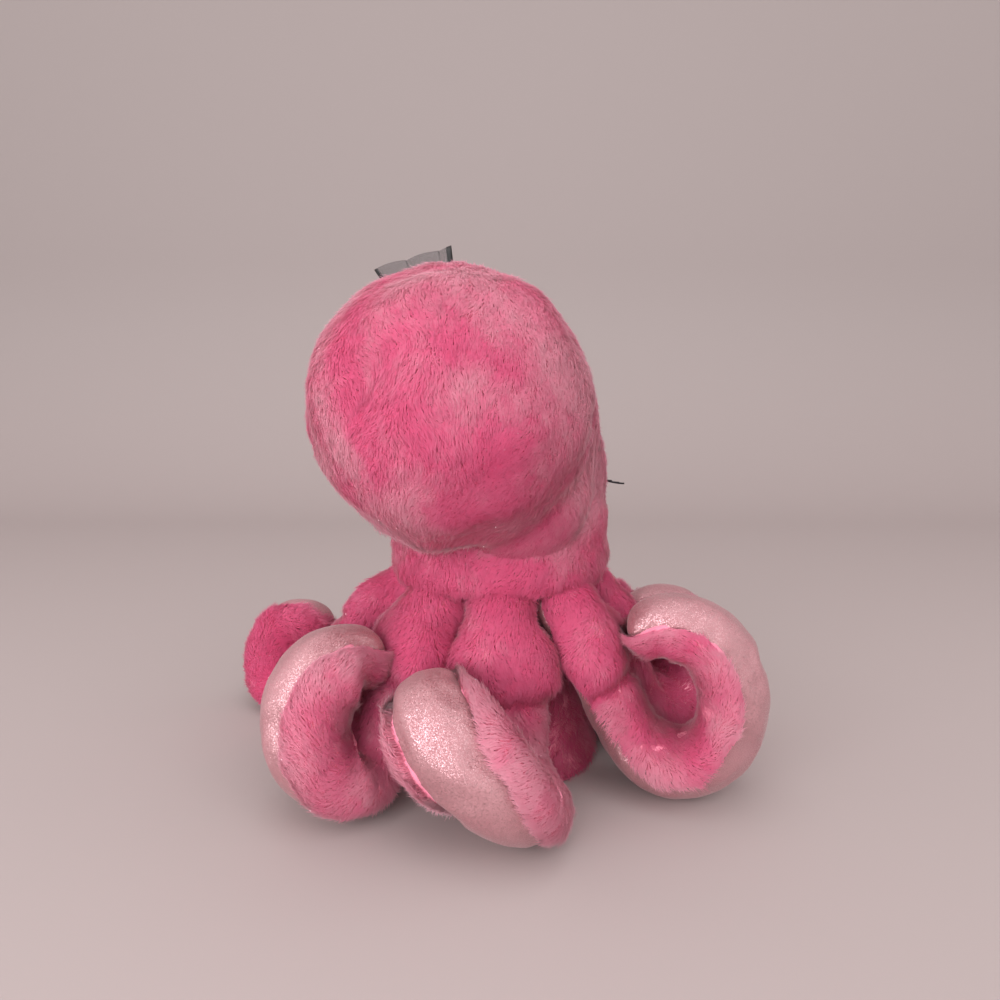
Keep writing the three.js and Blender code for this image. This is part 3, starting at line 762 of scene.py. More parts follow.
def buildHead():
    skin = bulb("head_skin", head["skinDepth"], head["skinVoxel"], 16)
    stuff(skin, 3.0, 2.0 * mm)
    roundOff(skin)
    places, _, normals = triangleArrays(skin)
    places += normals * (softNoise(places, 46 * mm, 51) * head["dent"] * mm)[:, None]
    for centre, reach, depth in head["dimples"]:
        share = np.exp(-(np.linalg.norm(places / mm - centre, axis=1) / reach) ** 2)
        places -= normals * (share * depth * mm)[:, None]
    putVertices(skin, places)
    dress(skin, backing)
    filling = bulb("head_stuffing", head["fillingDepth"], head["fillingVoxel"], 4)
    dress(filling, cotton)
    points, corners, normals = triangleArrays(skin)
    middle = points[corners].mean(axis=1)
    front = middle[:, 1] < head["regionLine"] * mm
    right = middle[:, 0] < 0
    regions = [
        ("head_right_pile", right & front),
        ("head_left_pile", ~right & front),
        ("mantle_right_pile", right & ~front),
        ("mantle_left_pile", ~right & ~front),
    ]
    coats = []
    for index, (name, inside) in enumerate(regions):
        roots, facing, _ = scatter(points, corners[inside], normals, [], head["fibres"], 100 + index)
        keep = clearOfFace(roots) & (roots[:, 2] > head["opening"] * mm)
        roots, facing = roots[keep], facing[keep]
        # painted light: the pile low on the head under the mantle, on its left side, is painted paler against
        # the shade there
        under = smoothShare((0.170 - roots[:, 2]) / 0.025) * smoothShare((roots[:, 0] + 0.02) / 0.03)
        hem = smoothShare((0.168 - roots[:, 2]) / 0.02) * smoothShare((roots[:, 0] + 0.025) / 0.03)
        shade = -0.2 * under - 2 * brushedAndPaintedLightTone(roots)
        combs = combed(roots, head["comb"])
        coats.append(growPile(name, roots, facing, combs, 200 + index, 1 + 0.5 * hem, shade))
    for piece in [skin, filling, *coats]:
        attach(piece, "head")
    finishSoft("head_fur")
    finishSoft("head_filling")


buildHead()
print("head built")

eyeSize = {
    "radius": 9.0,
    "depth": 6.0,
    "shank": 2.0,
    "shankLength": 8.0,
}


def buildEye(word):
    way = eyeWays[word]
    dome = addBall((0, 0, 0), eyeSize["radius"], 40, 24)
    dome.name = word + "_eye_bead"
    editAll()
    bpy.ops.mesh.bisect(plane_co=(0, 0, 0), plane_no=(0, 0, 1), clear_inner=True, use_fill=True)
    bpy.ops.mesh.select_all(action="DESELECT")
    leaveEdit()
    for polygon in dome.data.polygons:
        polygon.select = polygon.normal.z < -0.99
    bpy.ops.object.mode_set(mode="EDIT")
    bpy.ops.mesh.select_mode(type="FACE")
    share = eyeSize["shank"] / eyeSize["radius"]
    bpy.ops.mesh.inset(thickness=0.5 * mm)
    bpy.ops.mesh.inset(thickness=(eyeSize["radius"] * (1 - share) - 0.5) * mm)
    down = (0, 0, -eyeSize["shankLength"] * mm)
    bpy.ops.mesh.extrude_region_move(TRANSFORM_OT_translate={"value": down})
    leaveEdit()
    places = vertexArray(dome)
    above = places[:, 2] > 0
    places[above, 2] *= eyeSize["depth"] / eyeSize["radius"]
    places[:, 2] += 61.3 * mm
    turned = np.array(way.to_track_quat("Z", "Y").to_matrix())
    putVertices(dome, places @ turned.T + np.array(facePivot))
    bpy.ops.object.shade_smooth_by_angle(angle=math.radians(40))
    dress(dome, glassEye)
    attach(dome, "head")
    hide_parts(word + "_eye")


lashSize = {
    "band": 3.0,
    "reach": 13.0,
    "drop": 3.1,
    "dip": 19,
    "spread": (-17, 18),
    "count": 4,
    "wall": 0.98,
    "curl": 1.6,
    "steps": 10,
}


# a felt band over the eye with tapered lashes, each turned up towards its tip
def buildLashes(word, side):
    inner = 61.3
    first, last = (math.radians(value) for value in lashSize["spread"])
    steps, lashes = lashSize["steps"], lashSize["count"]
    columns = lashes * steps + 1
    rows = 9
    grid = np.zeros((rows, columns, 3))
    for column in range(columns):
        share = column / (columns - 1)
        turn = first + (last - first) * share
        local = (column / steps) % 1.0
        peak = np.clip(1 - abs(local - 0.5) * 2, 0, 1) ** 1.6
        reach = lashSize["band"] + (lashSize["reach"] - lashSize["band"]) * peak
        hub = first + (last - first) * (min(column // steps, lashes - 1) + 0.5) / lashes
        for row in range(rows):
            out = row / (rows - 1)
            away = inner + reach * out
            beyond = max(0.0, (reach * out - lashSize["band"]) / (lashSize["reach"] - lashSize["band"]))
            swung = turn + (hub + (last - first) * 0.08 - turn) * beyond
            lift = lashSize["curl"] * beyond ** 2
            grid[row, column] = (away * math.sin(swung), away * math.cos(swung), lift)
    flat = grid.reshape(-1, 3)
    flat[:, 2] -= (flat[:, 1] - inner) * math.tan(math.radians(lashSize["dip"]))
    flat[:, 2] += 170 - lashSize["drop"]
    flat[:, 0] *= 1 if side < 0 else -1
    spin = math.pi + side * math.radians(head["eyeTurn"])
    flat = flat @ np.array(Matrix.Rotation(spin, 3, "Z")).T * mm
    faces = gridFaces(rows, columns)
    if side < 0:
        faces = [(a, d, c, b) for a, b, c, d in faces]
    piece = meshPiece(word + "_lash_fringe", flat, faces, lashFelt)
    giveWall(piece, lashSize["wall"])
    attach(piece, "head")
    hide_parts(word + "_lashes")


def buildMouth():
    count = 130
    path = mouthPath(count, mouth["lift"])
    onward = unit(np.gradient(path, axis=0))
    outward = unit(path - np.array(facePivot))
    side = unit(np.cross(onward, outward))
    plies = []
    taper = np.clip(np.minimum(np.arange(count), np.arange(count)[::-1]) / 4, 0.35, 1)
    for ply in range(2):
        turn = np.linspace(0, 2 * np.pi * mouth["twists"], count) + ply * np.pi
        offset = outward * np.cos(turn)[:, None] + side * np.sin(turn)[:, None]
        wound = path + offset * mouth["ply"] * mm
        plies.append(strand("mouth_ply", wound, taper * mouth["thread"] * mm, 8, stitch))
    thread = joined(plies, "mouth_thread")
    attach(thread, "head")
    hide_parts("mouth_stitch")


for eyeWord, eyeSide in (("right", -1), ("left", 1)):
    buildEye(eyeWord)
    buildLashes(eyeWord, eyeSide)
buildMouth()
print("face built")

bow = {
    "normal": (0.527, -0.457, 0.716),
    "loopRise": (0.306, 0.124, 0.945),
    "loopAcross": (-0.876, -0.354, 0.33),
    "seat": 67.6,  # from the crown's middle to the knot's
    "knotRadius": 8.0,
    "knotGap": 0.6,
    "knotWidth": 15.0,
    "loopLength": 50.0,
    "loopWidth": 45.0,
    "loopMouth": 16.0,
    "gather": 12.0,
    "tailLength": 42.0,
    "tailWidth": 30.0,
    "tailDrop": 20.0,
    "pleats": 4.5,
    "pleatDepth": 1.3,
    "fold": 0.1,
    "foldLift": 0.7,
    "thickness": 0.22,
}
bowWays = {
    "normal": unit(np.array(bow["normal"])),
    "backRise": unit(np.array(bow["loopRise"])),
    "backAcross": unit(np.array(bow["loopAcross"])),
}
knotCentre = np.array(head["balls"][1][0]) + bowWays["normal"] * bow["seat"]


def mirrored(way):
    return bowWays["normal"] * 2 * (bowWays["normal"] @ way) - way


# a ribbon along a path: rows run along it, columns across, and pleats run out from its gathered ends
def ribbon(name, path, across, normals, widths, gathered, node):
    columns = 33
    rows = len(path)
    spread = np.linspace(-0.5, 0.5, columns)
    wave = np.sin(spread * 2 * np.pi * bow["pleats"])[None, :] + 0.4 * np.sin(spread * 17 + 1)[None, :]
    lift = wave * bow["pleatDepth"] * gathered[:, None]
    flare = softNoise(np.asarray(path) * mm, 28 * mm, 610)[:, None] * 0.8 * spread[None, :] * 2
    opened, fold = (1 - gathered)[:, None], (spread * 14 - 1)[None, :]
    folded = spread[None, :] + bow["fold"] * opened * np.sin(fold)
    lift = lift + bow["foldLift"] * opened * np.cos(fold)
    points = path[:, None] + across[None, None] * (folded * widths[:, None])[:, :, None]
    points = points + normals[:, None] * (lift + flare)[:, :, None]
    faces = gridFaces(rows, columns)
    piece = meshPiece(name, points.reshape(-1, 3) * mm, faces, organza)
    length = np.concatenate([[0], np.cumsum(np.linalg.norm(np.diff(path, axis=0), axis=1))])
    along = length / length[-1] * 0.98 + 0.01
    places = np.stack(np.meshgrid(np.linspace(0.01, 0.99, columns), along), axis=2)
    addMap(piece, places.reshape(-1, 2)[np.asarray(faces).ravel()])
    giveWall(piece, bow["thickness"])
    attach(piece, "head")
    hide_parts(node)
    return piece


def buildLoop(name, rise, across, node):
    through = unit(np.cross(rise, across))
    turns = np.pi * np.linspace(0.0, 1.0, 61)
    out = bow["loopLength"] * np.sin(turns)
    start = bow["loopLength"] * math.sin(math.pi * 0.035)
    path = knotCentre + rise * (bow["knotRadius"] + bow["knotGap"] + out - start)[:, None]
    path = path + through * (bow["loopMouth"] / 2 * np.sin(2 * turns))[:, None]
    along = unit(np.gradient(path, axis=0))
    normals = unit(np.cross(along, across))
    widths = bow["gather"] + (bow["loopWidth"] - bow["gather"]) * np.abs(np.sin(turns)) ** 0.8
    gathered = 1 - 0.85 * np.abs(np.sin(turns)) ** 0.7
    ribbon(name, path, across, normals, widths, gathered, node)


def buildTail(name, towards, node):
    normal = bowWays["normal"]
    towards = np.array(towards)
    out = unit(towards - normal * (towards @ normal))
    across = unit(np.cross(out, normal))
    share = np.linspace(-0.12, 1, 34)
    path = knotCentre + out * (bow["knotRadius"] + bow["knotGap"] + bow["tailLength"] * share)[:, None]
    path = path - normal * (bow["tailDrop"] * np.abs(share) ** 2)[:, None]
    along = unit(np.gradient(path, axis=0))
    normals = unit(np.cross(along, across))
    widths = bow["gather"] + (bow["tailWidth"] - bow["gather"]) * np.sqrt(np.clip(share, 0, 1))
    gathered = 1 - 0.8 * np.sqrt(np.clip(share, 0, 1))
    ribbon(name, path, across, normals, widths, gathered, node)


# the knot: a gathered band wrapped round the pinch, open at both ends
def buildKnot():
    normal = bowWays["normal"]
    axis = unit(np.cross(normal, bowWays["backRise"]))
    other = np.cross(axis, normal)
    rows, columns = 17, 72
    points = np.zeros((rows, columns, 3))
    turns = np.linspace(0, 2 * np.pi, columns, endpoint=False)
    for row in range(rows):
        along = (row / (rows - 1) - 0.5) * 2
        crease = 0.45 * math.sin(row * 1.9) + 0.25 * np.sin(row * 1.3 + 3 * turns)
        radius = bow["knotRadius"] - bow["knotGap"] - 1.5 * along ** 2 + crease * 0.8
        high = np.where(np.sin(turns) > 0, 0.86, 0.62)
        ring = other * np.cos(turns)[:, None] + normal * (np.sin(turns) * high)[:, None]
        points[row] = knotCentre + axis * along * bow["knotWidth"] / 2 + ring * np.reshape(radius, (-1, 1))
    piece = meshPiece("bow_knot_wrap", points.reshape(-1, 3) * mm, gridFaces(rows, columns, True), organza)
    places = []
    for row in range(rows - 1):
        for column in range(columns):
            low, high = (0.02 + step / (rows - 1) * 0.96 for step in (row, row + 1))
            near, far = column / columns, (column + 1) / columns
            places += [(low, near), (low, far), (high, far), (high, near)]
    addMap(piece, places)
    giveWall(piece, bow["thickness"] * 1.5)
    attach(piece, "head")
    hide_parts("bow_knot")


buildKnot()
backWays = [bowWays["backRise"], bowWays["backAcross"]]
buildLoop("bow_back_ribbon", *backWays, "bow_back_loop")
buildLoop("bow_front_ribbon", *[mirrored(way) for way in backWays], "bow_front_loop")
buildTail("bow_upper_end", (-1, -0.35, 0.2), "bow_upper_tail")
buildTail("bow_lower_end", (1, 0.1, -0.6), "bow_lower_tail")
print("bow built")

neck = {
    "radius": 62.2,
    "bottom": 113.0,
    "top": 166.0,
    "wall": 1.6,
    "turnIn": 119.0,
    "ripple": 0.7,
    "fibres": 60000,
}


def buildNeck():
    rows, columns = 22, 72
    heights = np.linspace(neck["bottom"], neck["top"], rows)
    turns = np.linspace(0, 2 * np.pi, columns, endpoint=False)
    radius = neck["radius"] - np.clip(neck["turnIn"] - heights, 0, None) * 0.6
    radius -= smoothShare((heights - 146) / 20) * 4
    grid = np.zeros((2, rows, columns, 3))
    for layer, inset in enumerate((0.0, neck["wall"])):
        grid[layer, :, :, 0] = (radius - inset)[:, None] * np.cos(turns)
        grid[layer, :, :, 1] = (radius - inset)[:, None] * np.sin(turns)
        grid[layer, :, :, 2] = heights[:, None]
    flat = grid.reshape(-1, 3) * mm
    flat[:, :2] += unit(flat[:, :2]) * (softNoise(flat, 30 * mm, 61) * neck["ripple"] * mm)[:, None]
    at = lambda layer, row, column: (layer * rows + row) * columns + column % columns
    faces = []
    top = rows - 1
    for column in range(columns):
        far = column + 1
        for row in range(top):
            faces.append((at(0, row, column), at(0, row, far), at(0, row + 1, far), at(0, row + 1, column)))
            faces.append((at(1, row, column), at(1, row + 1, column), at(1, row + 1, far), at(1, row, far)))
        faces.append((at(0, 0, column), at(1, 0, column), at(1, 0, far), at(0, 0, far)))
        faces.append((at(0, top, column), at(0, top, far), at(1, top, far), at(1, top, column)))
    skin = meshPiece("neck_skin", flat, faces, backing)
    points, corners, normals = triangleArrays(skin)
    outer = corners[(corners < rows * columns).all(axis=1)]
    roots, facing, _ = scatter(points, outer, normals, [], neck["fibres"], 300)
    keep = clearOfFace(roots)
    for centre, radius in head["balls"][1:]:
        keep &= np.linalg.norm(roots - np.array(centre) * mm, axis=1) > (radius - 1.5) * mm
    roots, facing = roots[keep], facing[keep]
    low = 1 - smoothShare((roots[:, 2] - 0.117) / 0.012)
    high = smoothShare((roots[:, 2] - 0.130) / 0.018)
    back = high * smoothShare(roots[:, 1] / 0.03)
    # painted light and shade on the neck's pile: darker at its foot where it meets the arms (painted shade),
    # paler at the back under the mantle and a little paler all over (painted light against the mantle's
    # shade)
    coat = growPile("neck_pile", roots, facing, combed(roots, (0, 0, -1)), 310, 1.1 - 0.4 * high,
                    0.5 * low - 0.6 * back - 0.15 - 1.6 * brushedAndPaintedLightTone(roots), -0.2 * high)
    for piece in (skin, coat):
        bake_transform(piece)
    finishSoft("neck_fur")


buildNeck()
print("neck built")

armTable = {  # root, heading, slope, reach, rise, turn, lean, twist, stout, swell, drift
    "right_arm_4": (22.5, 26, 73, 0.87, 0.85, 182, -0.75, 26, 0.889, 7.0, 8),
    "right_arm_3": (67.5, 94, 61, 1.067, 1.35, 203, 0, 0, 0.861, 4.0, -32),
    "right_arm_2": (112.5, 140, 62, 0.967, 1.067, 200, 0, 0, 0.861, 4.5, 0),
    "right_arm_1": (157.5, 172, 64, 0.933, 1.033, 198, 0, 0, 0.861, 4.5, 0),
    "left_arm_1": (-157.5, -160, 64, 0.933, 1.033, 198, 0, 0, 0.861, 4.5, 0),
    "left_arm_2": (-112.5, -130, 62, 0.933, 1, 200, 0, 0, 0.861, 4.5, 0),
    "left_arm_3": (-67.5, -100, 38, 0.667, 0.667, 188, -0.4, 30, 0.833, 0.5, 0),
    "left_arm_4": (-22.5, -37, 62, 0.867, 1.1, 199, 0, 10, 0.889, 11.0, 0),
}
armSize = {
    "pivotCircle": 50.0,
    "pivotHeight": 100.0,
    "rootRadius": 18.0,
    "curlRadius": 30.0,
    "across": 24.0,
    "tipAcross": 20.0,
    "floorGap": 0.25,
    "acrossGrowth": 45.0,
    "throughFall": 70.0,
    "soleHalf": 70.0,
    "skinDepth": 1.6,
    "soleDepth": 0.4,
    "wall": 1.2,
    "fillingDepth": 5.5,
    "soleColumns": 18,
    "furColumns": 22,
    "fillingColumns": 12,
    "creasePlace": 47.0,  # along the arm, where it folds under its own bulge
    "creaseDepth": 2.4,
    "bulge": 3.0,
    "sideBulge": 6.0,
    "longer": 0.95,
    "rootLonger": 0.25,
    "tipLonger": 0.25,
    "fringeLonger": 0.35,
    "pale": {  # how much paler the pile is painted beyond the shoulder: painted light on the nearer arms, and a negative amount is painted shade
        "right_arm_4": 0.7,
        "right_arm_3": 0.15,
        "left_arm_4": 0.35,
        "left_arm_3": -0.5,
    },
    "pressed": 0.5,  # the pile is short where the arm lies on the floor
    "fibres": 52000,
}


# the middle of an arm's ball root, in mm
def armPivot(name):
    hub = math.radians(armTable[name][0])
    circle = armSize["pivotCircle"]
    return np.array([-math.sin(hub) * circle, math.cos(hub) * circle, armSize["pivotHeight"]])


# the arm's middle line and its frame at close stations, with its two round ends
def armLine(name):
    heading, slope, reach, rise, turn, lean, twist, stout, swell, drift = armTable[name][1:]
    reach, rise = reach * armSize["curlRadius"], rise * armSize["curlRadius"]
    rootRadius, broadest = armSize["rootRadius"], armSize["across"]
    through = stout * rootRadius
    slope, twist, turn = math.radians(slope), math.radians(twist), math.radians(turn)
    resting = math.hypot(through * math.cos(twist), broadest * math.sin(twist)) + armSize["floorGap"]
    centreHeight = resting + rise - armSize["pivotHeight"]
    start = -math.atan(math.tan(slope) * reach / rise)
    startHeight = centreHeight - rise * math.cos(start)
    straight = -startHeight / math.sin(slope)
    centreOut = straight * math.cos(slope) - reach * math.sin(start)
    along = np.linspace(0, straight, 40)[:-1]
    line = np.stack([along * math.cos(slope), along * 0, -along * math.sin(slope)], axis=1)
    turns = np.linspace(start, turn, 160)
    heights = centreHeight - rise * np.cos(turns)
    aside = np.where(turns > 0, lean * (heights - centreHeight + rise), 0)
    line = np.concatenate([line, np.stack([centreOut + reach * np.sin(turns), aside, heights], axis=1)])
    gone = np.concatenate([[0], np.cumsum(np.linalg.norm(np.diff(line, axis=0), axis=1))])
    length = gone[-1]
    stations = max(int(length / 4.0), 30)
    travelled = np.linspace(0, length, stations)
    centre = np.stack([np.interp(travelled, gone, line[:, k]) for k in range(3)], axis=1)
    onward = unit(np.gradient(centre, axis=0))
    outer = unit(np.cross([0.0, 1.0, 0.0], onward))
    asideWay = unit(np.cross(outer, onward))
    turned = twist * smoothShare(travelled / (length * 0.4))
    outward = outer * np.cos(turned)[:, None] + asideWay * np.sin(turned)[:, None]
    sideways = unit(np.cross(onward, outward))
    thick = rootRadius + (through - rootRadius) * smoothShare(travelled / armSize["throughFall"])
    broad = rootRadius + (broadest - rootRadius) * smoothShare(travelled / armSize["acrossGrowth"])
    broad += (armSize["tipAcross"] - broadest) * smoothShare((travelled - length * 0.6) / (length * 0.4))
    order = np.concatenate([np.zeros(6, int), np.arange(stations), np.full(6, stations - 1)])
    caps = np.concatenate([np.linspace(-1.5, -0.25, 6), np.zeros(stations), np.linspace(0.25, 1.5, 6)])
    spin = np.array(Matrix.Rotation(math.radians(90 + heading), 3, "Z"))
    world = lambda ways: ways[order] @ spin.T
    return {
        "centre": world(centre) + armPivot(name),
        "onward": world(onward),
        "outward": world(outward),
        "sideways": world(sideways),
        "thick": thick[order],
        "broad": broad[order],
        "cap": caps,
        "gone": travelled[order],
        "length": length,
        "swell": swell,
        "drift": (math.radians(drift) * smoothShare(travelled / (length * 0.35))
                  * (1 - 0.65 * smoothShare((travelled - length * 0.5) / (length * 0.3))))[order],
    }


# points round the arm: a row for each station, a column for each angle from the middle of the sole
def armGrid(line, angles, depths):
    thick = (line["thick"][:, None] - depths)[:, :, None]
    broad = (line["broad"][:, None] - depths)[:, :, None]
    level = np.cos(line["cap"])[:, None, None]
    grid = line["centre"][:, None] + line["onward"][:, None] * thick * np.sin(line["cap"])[:, None, None]
    turned = (angles[None, :] + line["drift"][:, None])[:, :, None]
    grid = grid + line["outward"][:, None] * thick * np.cos(turned) * level
    return (grid + line["sideways"][:, None] * broad * np.sin(turned) * level) * mm


# how deep the fold is at each place along the arm, from 0 to 1
def creaseShare(gone):
    return np.exp(-(((gone - armSize["creasePlace"]) / 4.5) ** 2))


# the upper arm bulges down to the fold and draws in there, and the curl's inner side is stuffed full
def furRelief(line, angles, depths):
    gone, length = line["gone"], line["length"]
    bulge = smoothShare(gone / 22) * smoothShare((armSize["creasePlace"] - gone) / 12)
    relief = armSize["bulge"] * bulge - armSize["creaseDepth"] * creaseShare(gone)
    full = line["swell"] * smoothShare((gone - 70) / 35) * smoothShare((length + 4 - gone) / 20)
    turned = angles[None, :] + line["drift"][:, None]
    inner = np.clip(-np.cos(turned) + 0.35, 0, 1)
    beside = np.abs(np.sin(turned)) * np.clip(1 - 2 * np.cos(turned), 0, 1)
    relief = (relief + full)[:, None] * inner + (armSize["sideBulge"] * bulge + 0.5 * full)[:, None] * beside
    return depths - relief


def withEnds(grid):
    return np.concatenate([grid.reshape(-1, 3), [grid[0].mean(axis=0), grid[-1].mean(axis=0)]])


# one skin panel between the seams, with its own thickness, closed round its rim
def armPanel(name, places, normals, rows, columns, picked, material, relief, tucked=0.0):
    width = len(picked)
    order = np.array([row * columns + column % columns for row in range(rows) for column in picked])
    tuck = np.zeros((rows, width))
    tuck[:, [0, -1]] = tucked  # the seam allowance lies under the next panel
    tuck = tuck.reshape(-1, 1)
    outer = places[order] + normals[order] * (relief(places[order])[:, None] - tuck)
    inner = places[order] - normals[order] * (armSize["wall"] * mm + tuck)
    base = len(order)
    faces = []
    for row in range(rows - 1):
        for column in range(width - 1):
            a, b = row * width + column, (row + 1) * width + column
            faces.append((a + 1, b + 1, b, a))
            faces.append((b + base, b + base + 1, a + base + 1, a + base))
        a, b = row * width, (row + 1) * width
        faces.append((b, b + base, a + base, a))
        a, b = a + width - 1, b + width - 1
        faces.append((a + base, b + base, b, a))
    last = (rows - 1) * width
    for column in range(width - 1):
        faces.append((column + base, column + 1 + base, column + 1, column))
        a = last + column
        faces.append((a + 1, a + 1 + base, a + base, a))
    piece = meshPiece(name, np.concatenate([outer, inner]), faces, material)
    if not tucked:
        roundOff(piece)
    return piece


def growArmPile(name, index, line, places, normals, rows, columns, soleCount, angles):
    half = angles[soleCount - 1]
    share = (angles - math.pi) / (math.pi - half)
    share[:soleCount] = 0
    turned = (angles[None, :] + line["drift"][:, None])[:, :, None]
    around = line["sideways"][:, None] * np.cos(turned) - line["outward"][:, None] * np.sin(turned)
    spread = (around * (np.sign(share) * np.abs(share) ** 2)[None, :, None]).reshape(-1, 3)
    onward = np.repeat(line["onward"], columns, axis=0)
    combs = np.concatenate([onward * 0.8 + spread, line["onward"][:1], line["onward"][-1:]])
    gone = np.concatenate([np.repeat(line["gone"], columns), [0, line["length"]]])
    triangles = []
    for row in range(rows - 1):
        for column in range(soleCount - 2, columns + 1):
            near, far = row * columns + column % columns, row * columns + (column + 1) % columns
            triangles += [(near, far, far + columns), (near, far + columns, near + columns)]
    triangles = np.array(triangles)
    edge = np.where(np.arange(columns) < soleCount, 1.0, np.abs(share))
    edge[[1, soleCount - 2]] = 1.35
    edge = np.concatenate([np.tile(edge, rows), [0, 0]])
    fields = [combs, gone[:, None], edge[:, None]]
    roots, facing, fields = scatter(places, triangles, normals, fields, armSize["fibres"], 400 + index)
    keep = (roots[:, 2] < 0.121) & (fields[2][:, 0] < 1.12)  # the pile reaches a little over the seams
    roots, facing, combs = roots[keep], facing[keep], fields[0][keep]
    gone, edge = fields[1][keep, 0], fields[2][keep, 0]
    combs[:, 2] -= 0.25
    upper = 1 - smoothShare((gone - 25) / 30)
    tuft = smoothShare((gone - line["length"] + 14) / 12)
    fringe = smoothShare((edge - 0.55) / 0.45) * (1 - upper)
    longer = armSize["longer"] + armSize["rootLonger"] * upper + armSize["tipLonger"] * tuft
    longer += armSize["fringeLonger"] * fringe
    longer *= 1 - armSize["pressed"] * smoothShare((0.014 - roots[:, 2]) / 0.012)
    # painted shade: the pile is darker in the fold under the bulge, at the top where the arm meets the neck,
    # and in the middle of the curl's inner side; it is also deeper on the upper arm and paler along the
    # sole's edges
    shade = np.clip(0.5 * creaseShare(gone + 3) + 0.5 * smoothShare((roots[:, 2] - 0.104) / 0.01), 0, 1)
    shade += (0.2 * (1 - edge) - armSize["pale"].get(name, 0)) * (1 - upper) + 0.2 * upper - 0.45 * fringe
    return growPile(name + "_pile", roots, facing, combs, 500 + index, longer, shade, 0.12 * fringe)


def buildArm(name, index):
    line = armLine(name)
    half = math.radians(armSize["soleHalf"])
    sole = np.linspace(-half, half, armSize["soleColumns"] + 1)
    fur = np.linspace(half, 2 * math.pi - half, armSize["furColumns"] + 1)[1:-1]
    angles = np.concatenate([sole, fur])
    rows, columns, soleCount = len(line["cap"]), len(angles), len(sole)
    depth = np.full(columns, armSize["skinDepth"])
    rim = (np.abs(sole) / half) ** 10
    depth[:soleCount] = armSize["soleDepth"] + (armSize["skinDepth"] - armSize["soleDepth"]) * rim
    depths = furRelief(line, angles, np.broadcast_to(depth, (rows, columns)))
    points = withEnds(armGrid(line, angles, depths))
    mesh = bpy.data.meshes.new(name)
    faces = gridFaces(rows, columns, True) + tubeEnds(rows, columns)
    mesh.from_pydata([tuple(point) for point in points], [], faces)
    shape = bpy.data.objects.new(name + "_shape", mesh)
    bpy.context.scene.collection.objects.link(shape)
    seams = [row * columns + column for row in range(rows) for column in (0, soleCount - 1)]
    stuff(shape, 3.5, 1.4 * mm, seams)
    places, _, normals = triangleArrays(shape)
    bpy.data.objects.remove(shape)
    coarse = lambda spots: 0.35 * mm * softNoise(spots, 16 * mm, 70 + index)
    ripple = lambda spots: coarse(spots) + 0.12 * mm * softNoise(spots, 5 * mm, 80 + index)
    swell = lambda spots: 0.6 * mm * softNoise(spots, 20 * mm, 90 + index)
    soleColumns, furColumns = list(range(soleCount)), list(range(soleCount - 2, columns + 2))
    soleSkin = armPanel(name + "_velour", places, normals, rows, columns, soleColumns, velour, ripple)
    furSkin = armPanel(name + "_skin", places, normals, rows, columns, furColumns, backing, swell, 0.9 * mm)
    coat = growArmPile(name, index, line, places, normals, rows, columns, soleCount, angles)
    sides = armSize["fillingColumns"]
    around = np.linspace(0, 2 * math.pi, sides, endpoint=False)
    core = withEnds(armGrid(line, around, np.full((rows, sides), armSize["fillingDepth"])))
    stuffing = meshPiece(name + "_stuffing", core, tubeTriangles(rows, sides), cotton)
    for piece in (soleSkin, furSkin, coat, stuffing):
        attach(piece, name)
    finishSoft(name + "_sole")
    finishSoft(name + "_fur")
    finishSoft(name + "_filling")


for armIndex, armName in enumerate(armTable):
    buildArm(armName, armIndex)
print("arms built")

torso = {
    "outline": [  # radius and height
        (58.0, 1.8), (54.0, 18.0), (44.0, 45.0), (34.0, 72.0), (32.0, 98.0), (56.5, 113.0), (60.5, 118.5)
    ],
    "skinDepth": 0.8,
    "fillingDepth": 4.5,
    "socket": 18.6,
    "fibres": 28000,
}


def addDisc(name, radius, height):
    place = (0, 0, height * mm)
    bpy.ops.mesh.primitive_circle_add(vertices=96, radius=radius * mm, location=place, fill_type="NGON")
    disc = bpy.context.object
    disc.name = name
    bpy.ops.object.transform_apply(location=True, rotation=True, scale=True)
    editAll()
    return disc


def turnOutwards():
    bpy.ops.mesh.select_all(action="SELECT")
    bpy.ops.mesh.normals_make_consistent(inside=False)
    leaveEdit()


# a turned body with a hollow for each arm's root
def turnedBody(name, inset, socket, material):
    profile = [(radius - inset, max(height, 1.8 + inset)) for radius, height in torso["outline"]]
    profile[-1] = (profile[-1][0], torso["outline"][-1][1] - inset)
    piece = addDisc(name, *profile[0])
    steps = 6
    finer = []
    for (r0, h0), (r1, h1) in zip(profile, profile[1:]):
        finer += [(r0 + (r1 - r0) * k / steps, h0 + (h1 - h0) * k / steps) for k in range(1, steps + 1)]
    last = profile[0]
    for radius, height in finer:
        step = (0, 0, (height - last[1]) * mm)
        bpy.ops.mesh.extrude_region_move(TRANSFORM_OT_translate={"value": step})
        share = radius / last[0]
        bpy.ops.transform.resize(value=(share, share, 1), center_override=(0, 0, height * mm))
        last = (radius, height)
    turnOutwards()
    hollows = [addBall(Vector(armPivot(arm)) * mm, socket, 40, 20) for arm in armTable]
    for hollow in hollows:
        cut = piece.modifiers.new("hollow", "BOOLEAN")
        cut.operation = "DIFFERENCE"
        cut.solver = "EXACT"
        cut.object = hollow
    applyModifiers(piece)
    for hollow in hollows:
        bpy.data.objects.remove(hollow)
    activate(piece)
    bpy.ops.object.shade_smooth_by_angle(angle=math.radians(35))
    dress(piece, material)
    return piece


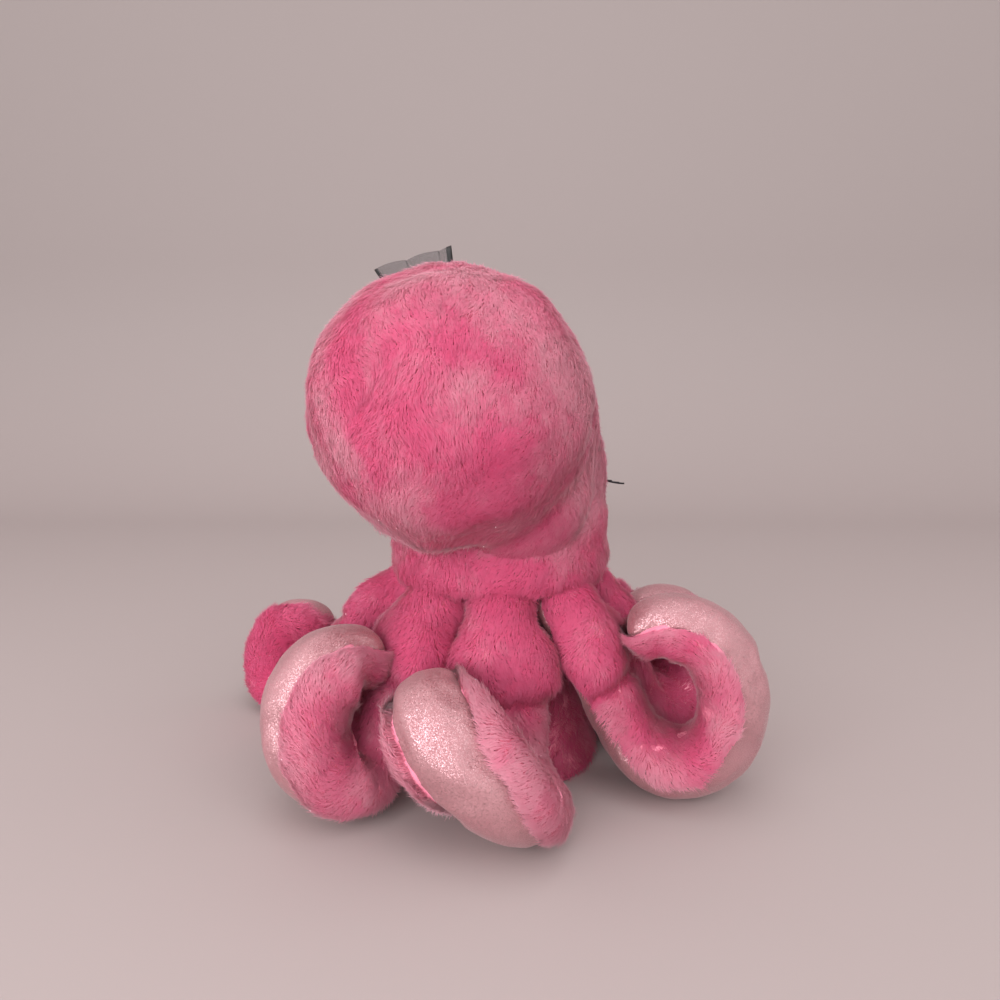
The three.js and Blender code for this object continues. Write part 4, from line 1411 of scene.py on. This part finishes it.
def buildTorso():
    skin = turnedBody("torso_skin", torso["skinDepth"], torso["socket"], backing)
    filling = turnedBody("torso_stuffing", torso["fillingDepth"], torso["socket"] + 2.5, cotton)
    points, corners, normals = triangleArrays(skin)
    a, b, c = (points[corners[:, k]] for k in range(3))
    flat = unit(np.cross(b - a, c - a))
    middle = (a + b + c) / 3
    outward = (flat[:, :2] * middle[:, :2]).sum(axis=1) > 0.2 * np.linalg.norm(middle[:, :2], axis=1)
    side = corners[outward & (middle[:, 2] > 0.004) & (middle[:, 2] < 0.110)]
    roots, facing, _ = scatter(points, side, normals, [], torso["fibres"], 700)
    keep = np.ones(len(roots), dtype=bool)
    for name in armTable:
        keep &= np.linalg.norm(roots - armPivot(name) * mm, axis=1) > 21 * mm
    roots, facing = roots[keep], facing[keep]
    coat = growPile("torso_pile", roots, facing, combed(roots, (0, 0, -1)), 710, 1.3, 0.4)
    for piece in (skin, filling, coat):
        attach(piece, "torso")
    finishSoft("torso_cloth")
    finishSoft("torso_filling")


buildTorso()
print("torso built")


base = {
    "radius": 58,
    "height": 0.9,
    "rings": (1.2, 2.2, 8, 14, 14, 12),
    "wall": 0.5,
    "seamRadius": 56.6,
    "stitches": 72,
    "thread": 0.22,
}


# the base: a puffed cloth disc with a row of stitches round it
def buildBase():
    disc = addDisc("base_cover", base["radius"], base["height"])
    for step in base["rings"]:
        bpy.ops.mesh.inset(thickness=step * mm)
    bpy.ops.mesh.poke()
    leaveEdit()
    places = vertexArray(disc)
    radius = np.linalg.norm(places[:, :2], axis=1) / mm
    groove = np.exp(-(((radius - base["seamRadius"]) / 0.7) ** 2))
    puff = 0.45 * smoothShare((56 - radius) / 12) + 0.1 * softNoise(places, 26 * mm, 720)
    places[:, 2] -= np.clip(puff - 0.3 * groove, -0.3, 0.62) * mm
    putVertices(disc, places)
    giveWall(disc, base["wall"])
    editAll()
    turnOutwards()
    bpy.ops.object.shade_smooth()
    dress(disc, underside)
    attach(disc, "torso")
    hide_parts("base_panel")
    stitches = []
    count = base["stitches"]
    for index in range(count):
        turns = np.linspace(index, index + 0.62, 6) * 2 * math.pi / count
        arch = 0.25 * np.sin(np.linspace(0, math.pi, 6))
        ring = base["seamRadius"]
        path = np.stack([np.cos(turns) * ring, np.sin(turns) * ring, 0.75 - arch], axis=1) * mm
        stitches.append(strand("base_stitch", path, np.full(6, base["thread"] * mm), 6, stitchPink))
    row = joined(stitches, "base_stitching")
    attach(row, "torso")


buildBase()

# solids that keep their CAD shape
kept = {"pellet_bag": calico, "pellets": beads, "right_eye_washer": nylon, "left_eye_washer": nylon}
for nodeName, finish in kept.items():
    for slot in bpy.data.objects[nodeName].material_slots:
        slot.material = finish
print("base and inner pieces built")
